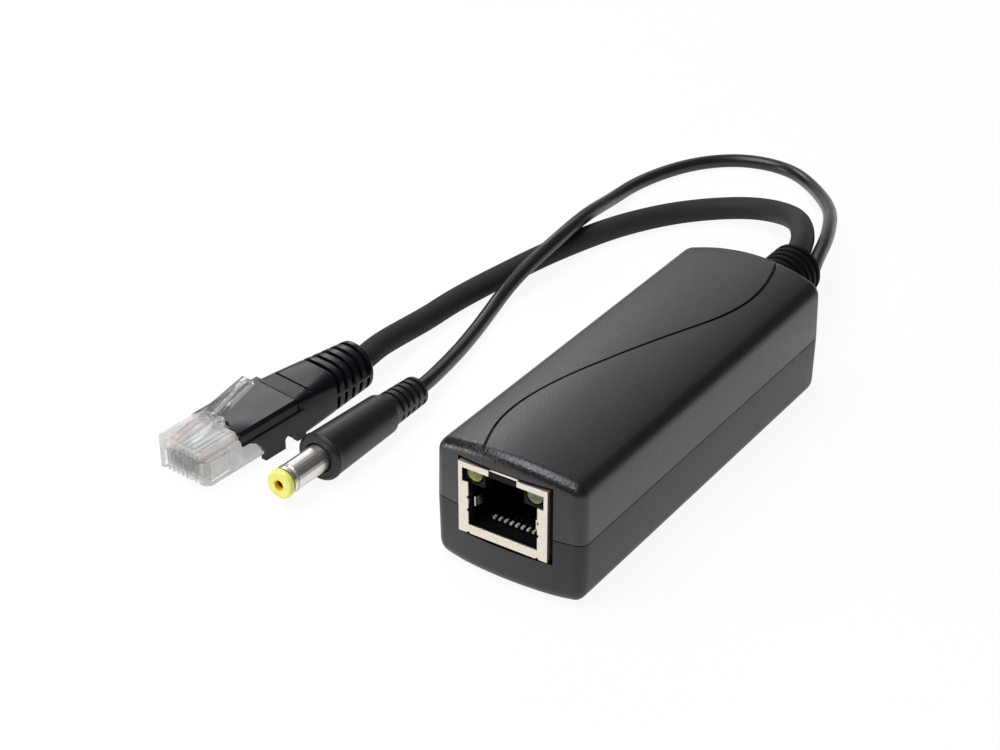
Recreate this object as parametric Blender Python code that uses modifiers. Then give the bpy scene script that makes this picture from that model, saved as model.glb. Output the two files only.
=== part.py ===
"""Power-over-Ethernet splitter with its data lead and its DC lead.

Frame: metres, +Z up, origin at the centre of the housing's base.  The housing
lies along Y, with the RJ45 jack on its -Y end and the cable boot on its +Y end.
Both leads turn back along the -X side, and their plugs lie beside the jack.
"""
import math

import bmesh
import bpy
import numpy as np
from mathutils import Matrix, Vector

# Clearance between neighbours, and how far a cutter stands past what it cuts
SEAT_GAP = 0.0003
OVERCUT = 0.001

# Housing, two moulded shells that meet at the parting plane
HOUSING_WIDTH = 0.0270
HOUSING_LENGTH = 0.0763
SHOULDER_HEIGHT = 0.02115
PARTING_HEIGHT = 0.0115
PARTING_LINE = 0.0003
WALL = 0.0018
TOP_CROWN = 0.0021
END_BOW = 0.0010
CORNER_RADIUS = 0.0021
TOP_EDGE_RADIUS = 0.0015
BOTTOM_EDGE_RADIUS = 0.0027
UPPER_DRAFT = 0.0002
LOWER_DRAFT = 0.0005
BASE_LAND = 0.0130
BASE_RISE = 0.0005
LIP_HEIGHT = 0.0010
LIP_THICKNESS = 0.0008
GROOVE_WIDTH = 0.0006
GROOVE_SPACING = 0.0028
GROOVE_ROUTE = ((-3.4, -40.4), (-4.3, -37.6), (-5.9, -34.0), (-7.2, -28.9), (-7.3, -22.5),
                (-5.6, -14.8), (-1.8, -4.2), (2.2, 6.6), (5.5, 15.5), (6.8, 21.9),
                (6.8, 28.4), (5.85, 33.6), (4.6, 37.6), (3.5, 40.4))

# Circuit board on the posts of the lower shell
BOARD_SIDE_MARGIN = 0.0012
BOARD_FRONT_MARGIN = 0.0019
BOARD_REAR_MARGIN = 0.0029
BOARD_WIDTH = HOUSING_WIDTH - 2 * (WALL + BOARD_SIDE_MARGIN)
BOARD_FRONT = -(HOUSING_LENGTH / 2 - WALL - BOARD_FRONT_MARGIN)
BOARD_REAR = HOUSING_LENGTH / 2 - WALL - BOARD_REAR_MARGIN
BOARD_THICKNESS = 0.0016
BOARD_TOP = 0.0073
POST_RADIUS = 0.0015
POST_INSET = 0.0022

# RJ45 jack, latch side up
JACK_WIDTH = 0.0160
JACK_HEIGHT = 0.0126
JACK_DEPTH = 0.0213
JACK_PROUD = 0.00025
JACK_FRONT = -(HOUSING_LENGTH / 2 + END_BOW + JACK_PROUD)
SHIELD_SHEET = 0.0004
JACK_FLANGE_SIDE = 0.0018
JACK_FLANGE_BOTTOM = 0.0016
JACK_FLANGE_TOP = 0.0010
BEND_RELIEF = 0.00027
BEND_RELIEF_HEIGHTS = (0.0042, 0.0065)
PORT_WIDTH = 0.0119
PORT_HEIGHT = 0.0072
PORT_DEPTH = 0.0150
LATCH_SLOT_WIDTH = 0.0050
LATCH_HOLLOW_WIDTH = 0.0070
LATCH_SLOT_HEIGHT = 0.0022
LED_CENTRE = 0.0054
LED_WIDTH = 0.0027
LED_HEIGHT = 0.0022
LED_DEPTH = 0.0070
LED_FLANGE_SIDE = 0.0007
LED_WINDOW_DROP = 0.0002
CONTACT_PITCH = 0.00102
CONTACT_COUNT = 8
JACK_CONTACT_WIDTH = 0.0004
JACK_CONTACT_THICKNESS = 0.0003
JACK_CONTACT_START = 0.0030
JACK_CONTACT_TOE = 0.0008
JACK_CONTACT_RUN = 0.0085
JACK_CONTACT_RISE = 0.0023
GROUND_SPRING_START = 0.0009
GROUND_SPRING_LENGTH = 0.0027
GROUND_SPRING_LOW = 0.0031
GROUND_SPRING_HEIGHT = 0.0017
GROUND_SPRING_THICKNESS = 0.0002
GROUND_SPRING_BULGE = 0.00035

# Cable boot at the rear
BOOT_Z = 0.0127
BOOT_RADIUS = 0.0050
BOOT_LENGTH = 0.01585
BOOT_END = HOUSING_LENGTH / 2 + END_BOW + BOOT_LENGTH
BOOT_GROOVE = 0.0008
BOOT_GROOVE_PITCH = 0.00165
BOOT_GROOVES = 7
BOOT_NECK_RADIUS = 0.0042
BOOT_FLANGE_RADIUS = 0.0056
BOOT_FLANGE = 0.0012

# Leads, both read off the photograph end to end
DATA_CABLE_DIAMETER = 0.0044
DATA_CABLE_SPACING = 0.0034
CABLE_END_GAP = 0.0009
POWER_CORD_DIAMETER = 0.0027
POWER_CORD_SPACING = 0.0031

# RJ45 plug on the data lead, in its own frame: x across, y back from its nose, z up
PLUG_WIDTH = 0.01168
PLUG_LENGTH = 0.0208
PLUG_SHOULDER = 0.00480
PLUG_HEIGHT = 0.00630
PLUG_STEP = 0.0008
PLUG_TOP_INSET = 0.0011
PLUG_CHAMFER = 0.0009
PLUG_CORE_WIDTH = 0.0092
PLUG_CORE_HEIGHT = 0.0050
PLUG_LIFT = 0.0015
PLUG_ORIGIN = (-0.05909, -0.04481, PLUG_LIFT)
PLUG_TURN = -4.9
LATCH_WIDTH = 0.0046
LATCH_ROOT = ((0.0012, -0.0005), (0.0012, 0.0003), (0.0032, 0.0007), (0.0058, 0.0018),
              (0.0081, 0.0018), (0.0081, -0.0005))
TAB_WIDTH = 0.0025
LATCH_TAB = ((0.0050, 0.0008), (0.0063, 0.0026), (0.0161, 0.0047), (0.0163, 0.0038),
             (0.0088, 0.0013), (0.0078, 0.0004))
PLUG_CONTACT_THICKNESS = 0.0003
PLUG_CONTACT_START = 0.0008
PLUG_CONTACT_LOW = 0.0006
PLUG_SLOT = 0.00062
PLUG_SLOT_LENGTH = 0.0062
PLUG_SLOT_HEIGHT = 0.0036

# Hood and skirts of the plug's boot, in the plug's frame
HOOD_WIDTH = 0.0114
HOOD_TOP = 0.00615
HOOD_START = 0.0083
HOOD_CHAMFER = 0.0006
HOOD_END = PLUG_LENGTH + 0.0022
SKIRT_WIDTH = 0.0120
SKIRT_LEDGE = 0.0039
SKIRT_LEDGE_STEP = 0.0001
SKIRT_EDGE = ((HOOD_START - 0.0002, 0.0038), (0.0095, 0.0038), (0.0111, 0.0031),
              (0.0123, 0.0020), (0.0133, 0.0006))
SKIRT_EDGE_LEAN = ((0.0, 1.0), (0.0, 1.0), (0.5, 1.0), (0.8, 0.7), (1.0, 0.3))
SKIRT_ARCH = ((0.0180, 0.0003), (0.0184, 0.0007), (0.0191, 0.0008), (0.0203, 0.0002),
              (0.0209, -0.0006))
TAB_NOTCH_WIDTH = 0.0058
TAB_NOTCH_STRAIGHT = 0.0004
TAB_NOTCH_TAPER = 0.0015
TAB_NOTCH_END = 0.0097

# Block and relief of the plug's boot, in a frame of their own
PLUG_BOOT_ORIGIN = (-0.05654, -0.0230, 0.0)
PLUG_BOOT_TURN = -8.2
PLUG_BOOT_WIDTH = 0.0103
PLUG_BOOT_HEIGHT = 0.00765
PLUG_BOOT_BLOCK = 0.0090
PLUG_BOOT_LENGTH = 0.0189
PLUG_BOOT_END = 0.0089
PLUG_BOOT_FLOOR = 0.0001
PLUG_BOOT_STEP = 0.0032
PLUG_BOOT_STEP_DEPTH = 0.00012
PLUG_BOOT_GROOVES = 5
PLUG_BOOT_GROOVE = 0.0008
PLUG_BOOT_GROOVE_DEPTH = 0.0008
PLUG_BOOT_END_ROUND = 0.0006
PARTING_BAND = 0.0006

# DC plug on the power lead, outer barrel and inner bore
BARREL_DIAMETER = 0.0048
BARREL_BORE = 0.0036
BARREL_LENGTH = 0.0088
BARREL_SEAT = 0.0025
BARREL_NOSE = 0.0007
BARREL_GROOVE = 0.0003
BARREL_GROOVE_DEPTH = 0.0003
BARREL_BEAD = 0.0005
BARREL_BEAD_HEIGHT = 0.00008
RING_DIAMETER = 0.0051
RING_LENGTH = 0.0011
RING_ROUND = 0.0004
PIN_BORE = 0.0017
INNER_CONTACT_SPACE = 0.0006
DC_BODY_DIAMETER = 0.0086
DC_SHOULDER_DIAMETER = 0.0073
DC_BODY_LENGTH = 0.0184
DC_EDGE_ROUND = 0.0005
DC_RIM = 0.0012
DC_RIM_STEP = 0.00012
DC_SHOULDER_ROUND = 0.0012
DC_NECK_STEP = 0.0006
DC_RELIEF_LENGTH = 0.0092
DC_RELIEF_DIAMETER = 0.0054
DC_RELIEF_GROOVES = 5
DC_RELIEF_GROOVE = 0.0006
DC_RELIEF_GROOVE_DEPTH = 0.0006
DC_FRONT = (-0.04125, -0.0317, 0.00430)

# Parts on the board: place behind the jack, then width, length and height
BLACK_PACKAGE = (0.02, 0.02, 0.02)
CHIPS = (("data_transformer", (0.0, 0.0058), (0.0150, 0.0090, 0.0060), BLACK_PACKAGE),
         ("bridge_rectifier_1", (-0.0062, 0.0138), (0.0060, 0.0050, 0.0026), BLACK_PACKAGE),
         ("bridge_rectifier_2", (0.0062, 0.0138), (0.0060, 0.0050, 0.0026), BLACK_PACKAGE),
         ("pd_controller", (0.0, 0.0138), (0.0040, 0.0050, 0.0016), BLACK_PACKAGE),
         ("output_diode", (0.0070, 0.0358), (0.0042, 0.0065, 0.0024), BLACK_PACKAGE),
         ("output_inductor", (-0.0055, 0.0437), (0.0075, 0.0075, 0.0050), (0.05, 0.05, 0.055)))
CHIP_EDGE = 0.0003
TRANSFORMER_PLACE = 0.0245
TRANSFORMER_WIDTH = 0.0130
TRANSFORMER_LENGTH = 0.0124
TRANSFORMER_HEADROOM = 0.00125
TRANSFORMER_HEIGHT = SHOULDER_HEIGHT - WALL - BOARD_TOP - SEAT_GAP - TRANSFORMER_HEADROOM
TRANSFORMER_LIMB = 0.0020
TRANSFORMER_YOKE = 0.0022
WINDING_OVERHANG = 0.0013
WINDING_EDGE = 0.0015
CANS = (("input_capacitor", (-0.0066, 0.0353), 0.0030, 0.0095),
        ("output_capacitor", (0.0060, 0.0438), 0.0035, 0.0105))
CAN_ROUND = 0.0004
CAN_CRIMP_HEIGHT = 0.0011
CAN_CRIMP = 0.0003

COLLECTION = "poe_splitter"


def clear_scene():
    for obj in list(bpy.data.objects):
        bpy.data.objects.remove(obj, do_unlink=True)


def make_collections():
    parts = bpy.data.collections.new(COLLECTION)
    cutters = bpy.data.collections.new(COLLECTION + "_cutters")
    for collection in (parts, cutters):
        bpy.context.scene.collection.children.link(collection)
    return parts, cutters


def material(name, colour, roughness, metallic=0.0):
    mat = bpy.data.materials.get(name) or bpy.data.materials.new(name)
    mat.use_nodes = True
    shader = mat.node_tree.nodes["Principled BSDF"]
    shader.inputs["Base Color"].default_value = (*colour, 1.0)
    shader.inputs["Roughness"].default_value = roughness
    shader.inputs["Metallic"].default_value = metallic
    return mat


def finish(obj, look=None, smooth=35.0):
    """Give an object its own material and crease-limited smooth shading."""
    if look is not None:
        obj.data.materials.clear()
        obj.data.materials.append(material(obj.name, *look))
    if obj.type == "MESH":
        obj.data.shade_smooth()
        obj.data.set_sharp_from_angle(angle=math.radians(smooth))
    return obj


def to_object(name, mesh_builder, cutter=False):
    """Turn a bmesh into a named object of the parts or the cutters."""
    bmesh.ops.recalc_face_normals(mesh_builder, faces=mesh_builder.faces)
    mesh = bpy.data.meshes.new(name)
    mesh_builder.to_mesh(mesh)
    mesh_builder.free()
    obj = bpy.data.objects.new(name, mesh)
    (CUTTERS if cutter else PARTS).objects.link(obj)
    if cutter:
        obj.hide_render = True
        obj.display_type = "WIRE"
    return obj


def box(name, low, high, cutter=False):
    """Box between two corners."""
    low, high = Vector(low), Vector(high)
    size = high - low
    bm = bmesh.new()
    bmesh.ops.create_cube(bm, size=1.0, matrix=Matrix.Translation((low + high) / 2)
                          @ Matrix.Diagonal((*size, 1.0)))
    return to_object(name, bm, cutter)


def rod(name, radius, start, end, sides=24, cutter=False):
    """Round rod between two points."""
    start, end = Vector(start), Vector(end)
    span = end - start
    turn = span.to_track_quat("Z", "Y").to_matrix().to_4x4()
    bm = bmesh.new()
    bmesh.ops.create_cone(bm, cap_ends=True, segments=sides, radius1=radius, radius2=radius,
                          depth=span.length,
                          matrix=Matrix.Translation((start + end) / 2) @ turn)
    return to_object(name, bm, cutter)


def prism(name, outline, low, high, axis="X", cutter=False):
    """Flat outline pushed along an axis; its points are given in the other two."""
    bm = bmesh.new()
    place = {"X": lambda a, b, c: (c, a, b), "Y": lambda a, b, c: (a, c, b),
             "Z": lambda a, b, c: (a, b, c)}[axis]
    face = bm.faces.new([bm.verts.new(place(a, b, low)) for a, b in outline])
    pushed = bmesh.ops.extrude_face_region(bm, geom=[face])["geom"]
    shift = Vector(place(0.0, 0.0, high - low))
    bmesh.ops.translate(bm, verts=[v for v in pushed if isinstance(v, bmesh.types.BMVert)],
                        vec=shift)
    return to_object(name, bm, cutter)


def boolean(target, other, operation="DIFFERENCE", touching=False):
    """Cut or join a piece; touching is for one whose own walls may meet along an edge."""
    mod = target.modifiers.new(other.name, "BOOLEAN")
    mod.operation = operation
    mod.solver = "EXACT"
    mod.use_self = touching
    mod.object = other
    return target


def bevel(obj, width, segments=2, angle=40.0):
    mod = obj.modifiers.new("edge", "BEVEL")
    mod.width = width
    mod.segments = segments
    mod.limit_method = "ANGLE"
    mod.angle_limit = math.radians(angle)
    return obj


def turned(name, profile, origin, direction, steps=32, cutter=False):
    """Profile of (radius, distance) turned about an axis; it runs far end first."""
    mesh = bpy.data.meshes.new(name)
    points = [(r, 0.0, z) for r, z in profile]
    mesh.from_pydata(points, [(i, i + 1) for i in range(len(points) - 1)], [])
    obj = bpy.data.objects.new(name, mesh)
    (CUTTERS if cutter else PARTS).objects.link(obj)
    if cutter:
        obj.hide_render = True
        obj.display_type = "WIRE"
    mod = obj.modifiers.new("turn", "SCREW")
    mod.axis = "Z"
    mod.steps = steps
    mod.render_steps = steps
    mod.use_merge_vertices = True
    mod.merge_threshold = 0.00001
    obj.location = origin
    obj.rotation_mode = "QUATERNION"
    obj.rotation_quaternion = Vector(direction).to_track_quat("Z", "Y")
    bpy.context.view_layer.update()
    return obj


def smooth_route(points, spacing):
    """Even points along a centripetal spline through a route's own points."""
    pts = [Vector(p) for p in points]
    pts = [pts[0] * 2 - pts[1]] + pts + [pts[-1] * 2 - pts[-2]]
    fine = []
    for p0, p1, p2, p3 in zip(pts, pts[1:], pts[2:], pts[3:]):
        t1 = (p1 - p0).length ** 0.5
        t2 = t1 + (p2 - p1).length ** 0.5
        t3 = t2 + (p3 - p2).length ** 0.5
        for step in range(24):
            t = t1 + (t2 - t1) * step / 24
            a1 = p0 * ((t1 - t) / t1) + p1 * (t / t1)
            a2 = p1 * ((t2 - t) / (t2 - t1)) + p2 * ((t - t1) / (t2 - t1))
            a3 = p2 * ((t3 - t) / (t3 - t2)) + p3 * ((t - t2) / (t3 - t2))
            b1 = a1 * ((t2 - t) / t2) + a2 * (t / t2)
            b2 = a2 * ((t3 - t) / (t3 - t1)) + a3 * ((t - t1) / (t3 - t1))
            fine.append(b1 * ((t2 - t) / (t2 - t1)) + b2 * ((t - t1) / (t2 - t1)))
    fine.append(pts[-2])
    lengths = np.concatenate([[0.0], np.cumsum([(b - a).length for a, b in zip(fine, fine[1:])])])
    count = max(2, int(round(lengths[-1] / spacing)) + 1)
    wanted = np.linspace(0.0, lengths[-1], count)
    coords = np.array([tuple(p) for p in fine])
    return np.stack([np.interp(wanted, lengths, coords[:, k]) for k in range(3)], axis=-1)


def tube(name, route, diameter, spacing, resolution=2, cutter=False):
    """Round tube along a route, as a poly curve with filled caps."""
    points = smooth_route(route, spacing)
    curve = bpy.data.curves.new(name, "CURVE")
    curve.dimensions = "3D"
    curve.bevel_depth = diameter / 2
    curve.bevel_resolution = resolution
    curve.use_fill_caps = True
    spline = curve.splines.new("POLY")
    spline.points.add(len(points) - 1)
    for point, co in zip(spline.points, points):
        point.co = (*co, 1.0)
    obj = bpy.data.objects.new(name, curve)
    (CUTTERS if cutter else PARTS).objects.link(obj)
    return obj


def as_mesh(obj, cutter=False):
    """Swap a curve object for a closed mesh of the same name."""
    name = obj.name
    bpy.context.view_layer.update()
    evaluated = obj.evaluated_get(bpy.context.evaluated_depsgraph_get())
    mesh = bpy.data.meshes.new_from_object(evaluated)
    bm = bmesh.new()
    bm.from_mesh(mesh)
    bmesh.ops.remove_doubles(bm, verts=bm.verts, dist=0.000001)
    bmesh.ops.recalc_face_normals(bm, faces=bm.faces)
    bm.to_mesh(mesh)
    bm.free()
    matrix = obj.matrix_world.copy()
    bpy.data.objects.remove(obj, do_unlink=True)
    solid = bpy.data.objects.new(name, mesh)
    solid.matrix_world = matrix
    (CUTTERS if cutter else PARTS).objects.link(solid)
    if cutter:
        solid.hide_render = True
        solid.display_type = "WIRE"
    return solid


def half_outline(side_inset, end_inset, radius, arc=5, run=12):
    """Front half of the housing's plan, left to right, with its bowed end."""
    half_w = HOUSING_WIDTH / 2 - side_inset
    half_l = HOUSING_LENGTH / 2 - end_inset
    radius = max(radius, 0.0002)
    reach = half_w - radius
    points = []
    for i in range(arc):
        a = math.pi + 0.5 * math.pi * i / arc
        points.append((-reach + radius * math.cos(a), -half_l + radius + radius * math.sin(a)))
    for i in range(run + 1):
        x = -reach + 2 * reach * i / run
        points.append((x, -half_l - END_BOW * (1 - (x / reach) ** 2)))
    for i in range(1, arc + 1):
        a = 1.5 * math.pi + 0.5 * math.pi * i / arc
        points.append((reach + radius * math.cos(a), -half_l + radius + radius * math.sin(a)))
    return points


def crown(x):
    return TOP_CROWN * (1 - (2 * x / HOUSING_WIDTH) ** 2)


def belly(x):
    past = max(0.0, abs(x) - BASE_LAND / 2)
    return BASE_RISE * (past / (HOUSING_WIDTH / 2 - BASE_LAND / 2)) ** 2


def ring(side_inset, end_inset, radius, height):
    """Closed ring of the housing's plan, its height given as a function of x."""
    front = half_outline(side_inset, end_inset, radius)
    points = front + [(x, -y) for x, y in reversed(front)]
    return [(x, y, height(x)) for x, y in points]


def skinned(name, rings, cutter=False):
    """Loft between rings, closed by strips that run from front to rear."""
    bm = bmesh.new()
    rows = [[bm.verts.new(p) for p in points] for points in rings]
    count = len(rows[0])
    for low, high in zip(rows, rows[1:]):
        for i in range(count):
            j = (i + 1) % count
            bm.faces.new((low[i], low[j], high[j], high[i]))
    for row in (rows[0], rows[-1]):
        for i in range(count // 2 - 1):
            bm.faces.new((row[i], row[i + 1], row[count - 2 - i], row[count - 1 - i]))
    return to_object(name, bm, cutter)


def upper_rings(inset, start):
    """Rings of the upper form, from a start height up over the top edge."""
    top = SHOULDER_HEIGHT - inset
    radius = max(TOP_EDGE_RADIUS - inset, 0.0004)
    corner = CORNER_RADIUS - inset
    rings = [ring(inset, inset, corner, lambda x: start)]
    steps = 5 if inset == 0 else 2
    for i in range(steps + 1):
        a = 0.5 * math.pi * i / steps
        pull = radius * (1 - math.cos(a)) + UPPER_DRAFT
        level = top - radius * (1 - math.sin(a))
        rings.append(ring(inset + pull, inset + pull, corner - pull / 2,
                          lambda x, z=level: z + crown(x)))
    return rings


def lower_rings(inset, start):
    """Rings of the lower form, from a start height down round the bottom edge."""
    radius = max(BOTTOM_EDGE_RADIUS - inset, 0.0004)
    corner = CORNER_RADIUS - inset
    rings = [ring(inset, inset, corner, lambda x: start)]
    steps = 6 if inset == 0 else 2
    for i in range(steps + 1):
        a = 0.5 * math.pi * i / steps
        pull = radius * (1 - math.cos(a))
        level = inset + radius * (1 - math.sin(a))
        rings.append(ring(inset + pull + LOWER_DRAFT, inset + pull, corner - pull / 2,
                          lambda x, z=level: z + belly(x)))
    return rings


def straight_rings(inset, low, high):
    return [ring(inset, inset, CORNER_RADIUS - inset, lambda x, z=z: z) for z in (low, high)]


def jack_base():
    return BOARD_TOP + SEAT_GAP


def jack_cut(name):
    """Clear opening for the jack through the front wall."""
    half = JACK_WIDTH / 2 + SEAT_GAP
    base = jack_base()
    return box(name, (-half, JACK_FRONT - OVERCUT, base - SEAT_GAP),
               (half, -HOUSING_LENGTH / 2 + WALL + OVERCUT, base + JACK_HEIGHT + SEAT_GAP), True)


def boot_cut(name):
    """Round hole for the boot's neck through the rear wall."""
    rear = HOUSING_LENGTH / 2
    return rod(name, BOOT_NECK_RADIUS + SEAT_GAP, (0, rear - WALL - OVERCUT, BOOT_Z),
               (0, rear + END_BOW + OVERCUT, BOOT_Z), 32, True)


def build_upper_shell():
    start = PARTING_HEIGHT + PARTING_LINE / 2
    shell = skinned("upper_shell", upper_rings(0.0, start))
    cavity = upper_rings(WALL, start - OVERCUT)
    boolean(shell, skinned("upper_cavity", cavity, True))
    rebate = WALL - LIP_THICKNESS - SEAT_GAP
    boolean(shell, skinned("upper_rebate", straight_rings(
        rebate, start - 2 * OVERCUT, PARTING_HEIGHT + LIP_HEIGHT + SEAT_GAP), True))
    boolean(shell, jack_cut("upper_jack_cut"))
    boolean(shell, boot_cut("upper_boot_cut"), touching=True)
    route = [(x / 1000, y / 1000, SHOULDER_HEIGHT + crown(x / 1000)) for x, y in GROOVE_ROUTE]
    groove = as_mesh(tube("top_groove", route, GROOVE_WIDTH, GROOVE_SPACING, 1, True), True)
    boolean(shell, groove)
    return finish(shell, ((0.028, 0.029, 0.032), 0.42))


def post_places():
    """Board posts: one by each corner of the board."""
    x = BOARD_WIDTH / 2 - POST_INSET
    front = BOARD_FRONT + POST_INSET
    rear = BOARD_REAR - POST_INSET
    return [(sx * x, y) for sx in (-1, 1) for y in (front, rear)]


def build_lower_shell():
    start = PARTING_HEIGHT - PARTING_LINE / 2
    shell = skinned("lower_shell", lower_rings(0.0, start))
    lip = WALL - LIP_THICKNESS
    boolean(shell, skinned("lower_lip", straight_rings(
        lip, start - 2 * OVERCUT, PARTING_HEIGHT + LIP_HEIGHT), True), "UNION")
    boolean(shell, skinned("lower_cavity", lower_rings(
        WALL, PARTING_HEIGHT + LIP_HEIGHT + OVERCUT), True))
    under = BOARD_TOP - BOARD_THICKNESS - SEAT_GAP
    for number, (x, y) in enumerate(post_places(), 1):
        boolean(shell, rod("board_post_%d" % number, POST_RADIUS, (x, y, WALL / 2),
                           (x, y, under), 12, True), "UNION")
    boolean(shell, jack_cut("lower_jack_cut"))
    boolean(shell, boot_cut("lower_boot_cut"))
    return finish(shell, ((0.026, 0.027, 0.030), 0.45))


def build_board():
    board = box("circuit_board", (-BOARD_WIDTH / 2, BOARD_FRONT, BOARD_TOP - BOARD_THICKNESS),
                (BOARD_WIDTH / 2, BOARD_REAR, BOARD_TOP))
    return finish(board, ((0.02, 0.14, 0.06), 0.5))


def led_top():
    return jack_base() + JACK_HEIGHT - JACK_FLANGE_TOP


def led_outline(side, clearance, top, steps=10):
    """Front view of a light: flat above and half round below, grown by a clearance."""
    radius = LED_WIDTH / 2 + clearance
    middle = led_top() - LED_HEIGHT + LED_WIDTH / 2
    points = [(side * LED_CENTRE + radius, top), (side * LED_CENTRE - radius, top)]
    for i in range(steps + 1):
        a = math.pi + math.pi * i / steps
        points.append((side * LED_CENTRE + radius * math.cos(a), middle + radius * math.sin(a)))
    return points


def shield_window():
    """Front view of the shield's opening: the port, a window for each light and the latch slot."""
    base = jack_base()
    low, high = base + JACK_FLANGE_BOTTOM, led_top()
    reach = JACK_WIDTH / 2 - JACK_FLANGE_SIDE
    far = JACK_WIDTH / 2 - LED_FLANGE_SIDE
    sill = high - LED_HEIGHT - LED_WINDOW_DROP
    slot = LATCH_SLOT_WIDTH / 2
    right = [(reach, low), (reach, sill), (far, sill), (far, high), (slot, high),
             (slot, base + JACK_HEIGHT + OVERCUT)]
    return right + [(-x, z) for x, z in reversed(right)]


def build_jack_shield():
    base = jack_base()
    half = JACK_WIDTH / 2
    top, rear = base + JACK_HEIGHT, JACK_FRONT + JACK_DEPTH
    sheet = SHIELD_SHEET
    shield = box("jack_shield", (-half, JACK_FRONT, base), (half, rear, top))
    boolean(shield, box("shield_inside", (-half + sheet, JACK_FRONT + sheet, base - OVERCUT),
                        (half - sheet, rear - sheet, top - sheet), True))
    past = JACK_FRONT + sheet + SEAT_GAP / 2
    boolean(shield, prism("shield_window", shield_window(), JACK_FRONT - OVERCUT, past, "Y", True))

    # Small round notches in the front sheet, where its flaps are folded round
    for side in (-1, 1):
        edge = side * (half - JACK_FLANGE_SIDE)
        places = [(edge, base)] + [(edge, base + height) for height in BEND_RELIEF_HEIGHTS]
        for number, (x, z) in enumerate(places, 1):
            name = "bend_relief_%s_%d" % ("left" if side < 0 else "right", number)
            boolean(shield, rod(name, BEND_RELIEF, (x, JACK_FRONT - OVERCUT, z), (x, past, z),
                                10, True))
    return finish(shield, ((0.78, 0.75, 0.70), 0.32, 1.0))


def build_jack_insert():
    """Black moulding inside the shield, with the port, the latch hollow and the lights."""
    base = jack_base()
    half = JACK_WIDTH / 2
    top, rear = base + JACK_HEIGHT, JACK_FRONT + JACK_DEPTH
    gap = SHIELD_SHEET + SEAT_GAP
    insert = box("jack_insert", (-half + gap, JACK_FRONT + gap, base + SEAT_GAP),
                 (half - gap, rear - gap, top - gap))
    port_low = base + JACK_FLANGE_BOTTOM
    port_top = port_low + PORT_HEIGHT
    latch_top = port_top + LATCH_SLOT_HEIGHT
    right = [(PORT_WIDTH / 2, port_low), (PORT_WIDTH / 2, port_top),
             (LATCH_HOLLOW_WIDTH / 2, port_top), (LATCH_HOLLOW_WIDTH / 2, latch_top)]
    hollow = right + [(-x, z) for x, z in reversed(right)]
    boolean(insert, prism("port_hollow", hollow, JACK_FRONT - OVERCUT, JACK_FRONT + PORT_DEPTH,
                          "Y", True))
    front = JACK_FRONT + gap
    lights = (("led_amber", -1, (0.55, 0.60, 0.10)), ("led_green", 1, (0.18, 0.50, 0.20)))
    for name, side, colour in lights:
        boolean(insert, prism(name + "_pocket", led_outline(side, SEAT_GAP, top), front - OVERCUT,
                              front + LED_DEPTH + SEAT_GAP, "Y", True))
        led = prism(name, led_outline(side, 0.0, led_top()), front, front + LED_DEPTH, "Y")
        finish(led, (colour, 0.25))
    return finish(insert, ((0.012, 0.012, 0.013), 0.5))


def build_jack_contacts():
    """Flat springs that rise rearwards from the port's floor."""
    floor = jack_base() + JACK_FLANGE_BOTTOM
    front = JACK_FRONT + JACK_CONTACT_START
    rear = JACK_FRONT + PORT_DEPTH - SEAT_GAP
    low, high = floor + SEAT_GAP, floor + JACK_CONTACT_RISE
    under = [(front, low), (front + JACK_CONTACT_TOE, low), (front + JACK_CONTACT_RUN, high),
             (rear, high)]
    side_view = under + [(y, z + JACK_CONTACT_THICKNESS) for y, z in reversed(under)]
    for number in range(CONTACT_COUNT):
        x = (number - (CONTACT_COUNT - 1) / 2) * CONTACT_PITCH
        pin = prism("jack_contact_%d" % (number + 1), side_view,
                    x - JACK_CONTACT_WIDTH / 2, x + JACK_CONTACT_WIDTH / 2, "X")
        finish(pin, ((0.83, 0.68, 0.35), 0.25, 1.0))


def build_ground_springs(steps=8):
    """Bowed leaves by the port's side walls, which touch a shielded plug."""
    start = JACK_FRONT + GROUND_SPRING_START
    low = jack_base() + GROUND_SPRING_LOW + JACK_FLANGE_BOTTOM
    for name, side in (("ground_spring_left", -1), ("ground_spring_right", 1)):
        outer, inner = [], []
        for i in range(steps + 1):
            share = i / steps
            y = start + GROUND_SPRING_LENGTH * share
            x = PORT_WIDTH / 2 - SEAT_GAP - GROUND_SPRING_BULGE * math.sin(math.pi * share)
            outer.append((side * x, y))
            inner.append((side * (x - GROUND_SPRING_THICKNESS), y))
        leaf = prism(name, outer + inner[::-1], low, low + GROUND_SPRING_HEIGHT, "Z")
        finish(leaf, ((0.78, 0.75, 0.70), 0.3, 1.0))


def boot_profile():
    """Neck in the wall, flange behind it and a ribbed sleeve outside."""
    wall_out = HOUSING_LENGTH / 2 + END_BOW
    wall_in = HOUSING_LENGTH / 2 - WALL
    shoulder = wall_out + SEAT_GAP
    profile = [(0.0, BOOT_END), (BOOT_RADIUS - 0.0005, BOOT_END),
               (BOOT_RADIUS, BOOT_END - 0.0005)]
    y = BOOT_END - BOOT_GROOVE_PITCH
    for _ in range(BOOT_GROOVES):
        half = BOOT_GROOVE / 2
        floor = BOOT_RADIUS - 0.0008
        profile += [(BOOT_RADIUS, y + half), (floor, y + half * 0.6),
                    (floor, y - half * 0.6), (BOOT_RADIUS, y - half)]
        y -= BOOT_GROOVE_PITCH
    profile += [(BOOT_RADIUS, shoulder), (BOOT_NECK_RADIUS, shoulder),
                (BOOT_NECK_RADIUS, wall_in - SEAT_GAP), (BOOT_FLANGE_RADIUS, wall_in - SEAT_GAP),
                (BOOT_FLANGE_RADIUS, wall_in - SEAT_GAP - BOOT_FLANGE),
                (0.0, wall_in - SEAT_GAP - BOOT_FLANGE)]
    return profile


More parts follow.
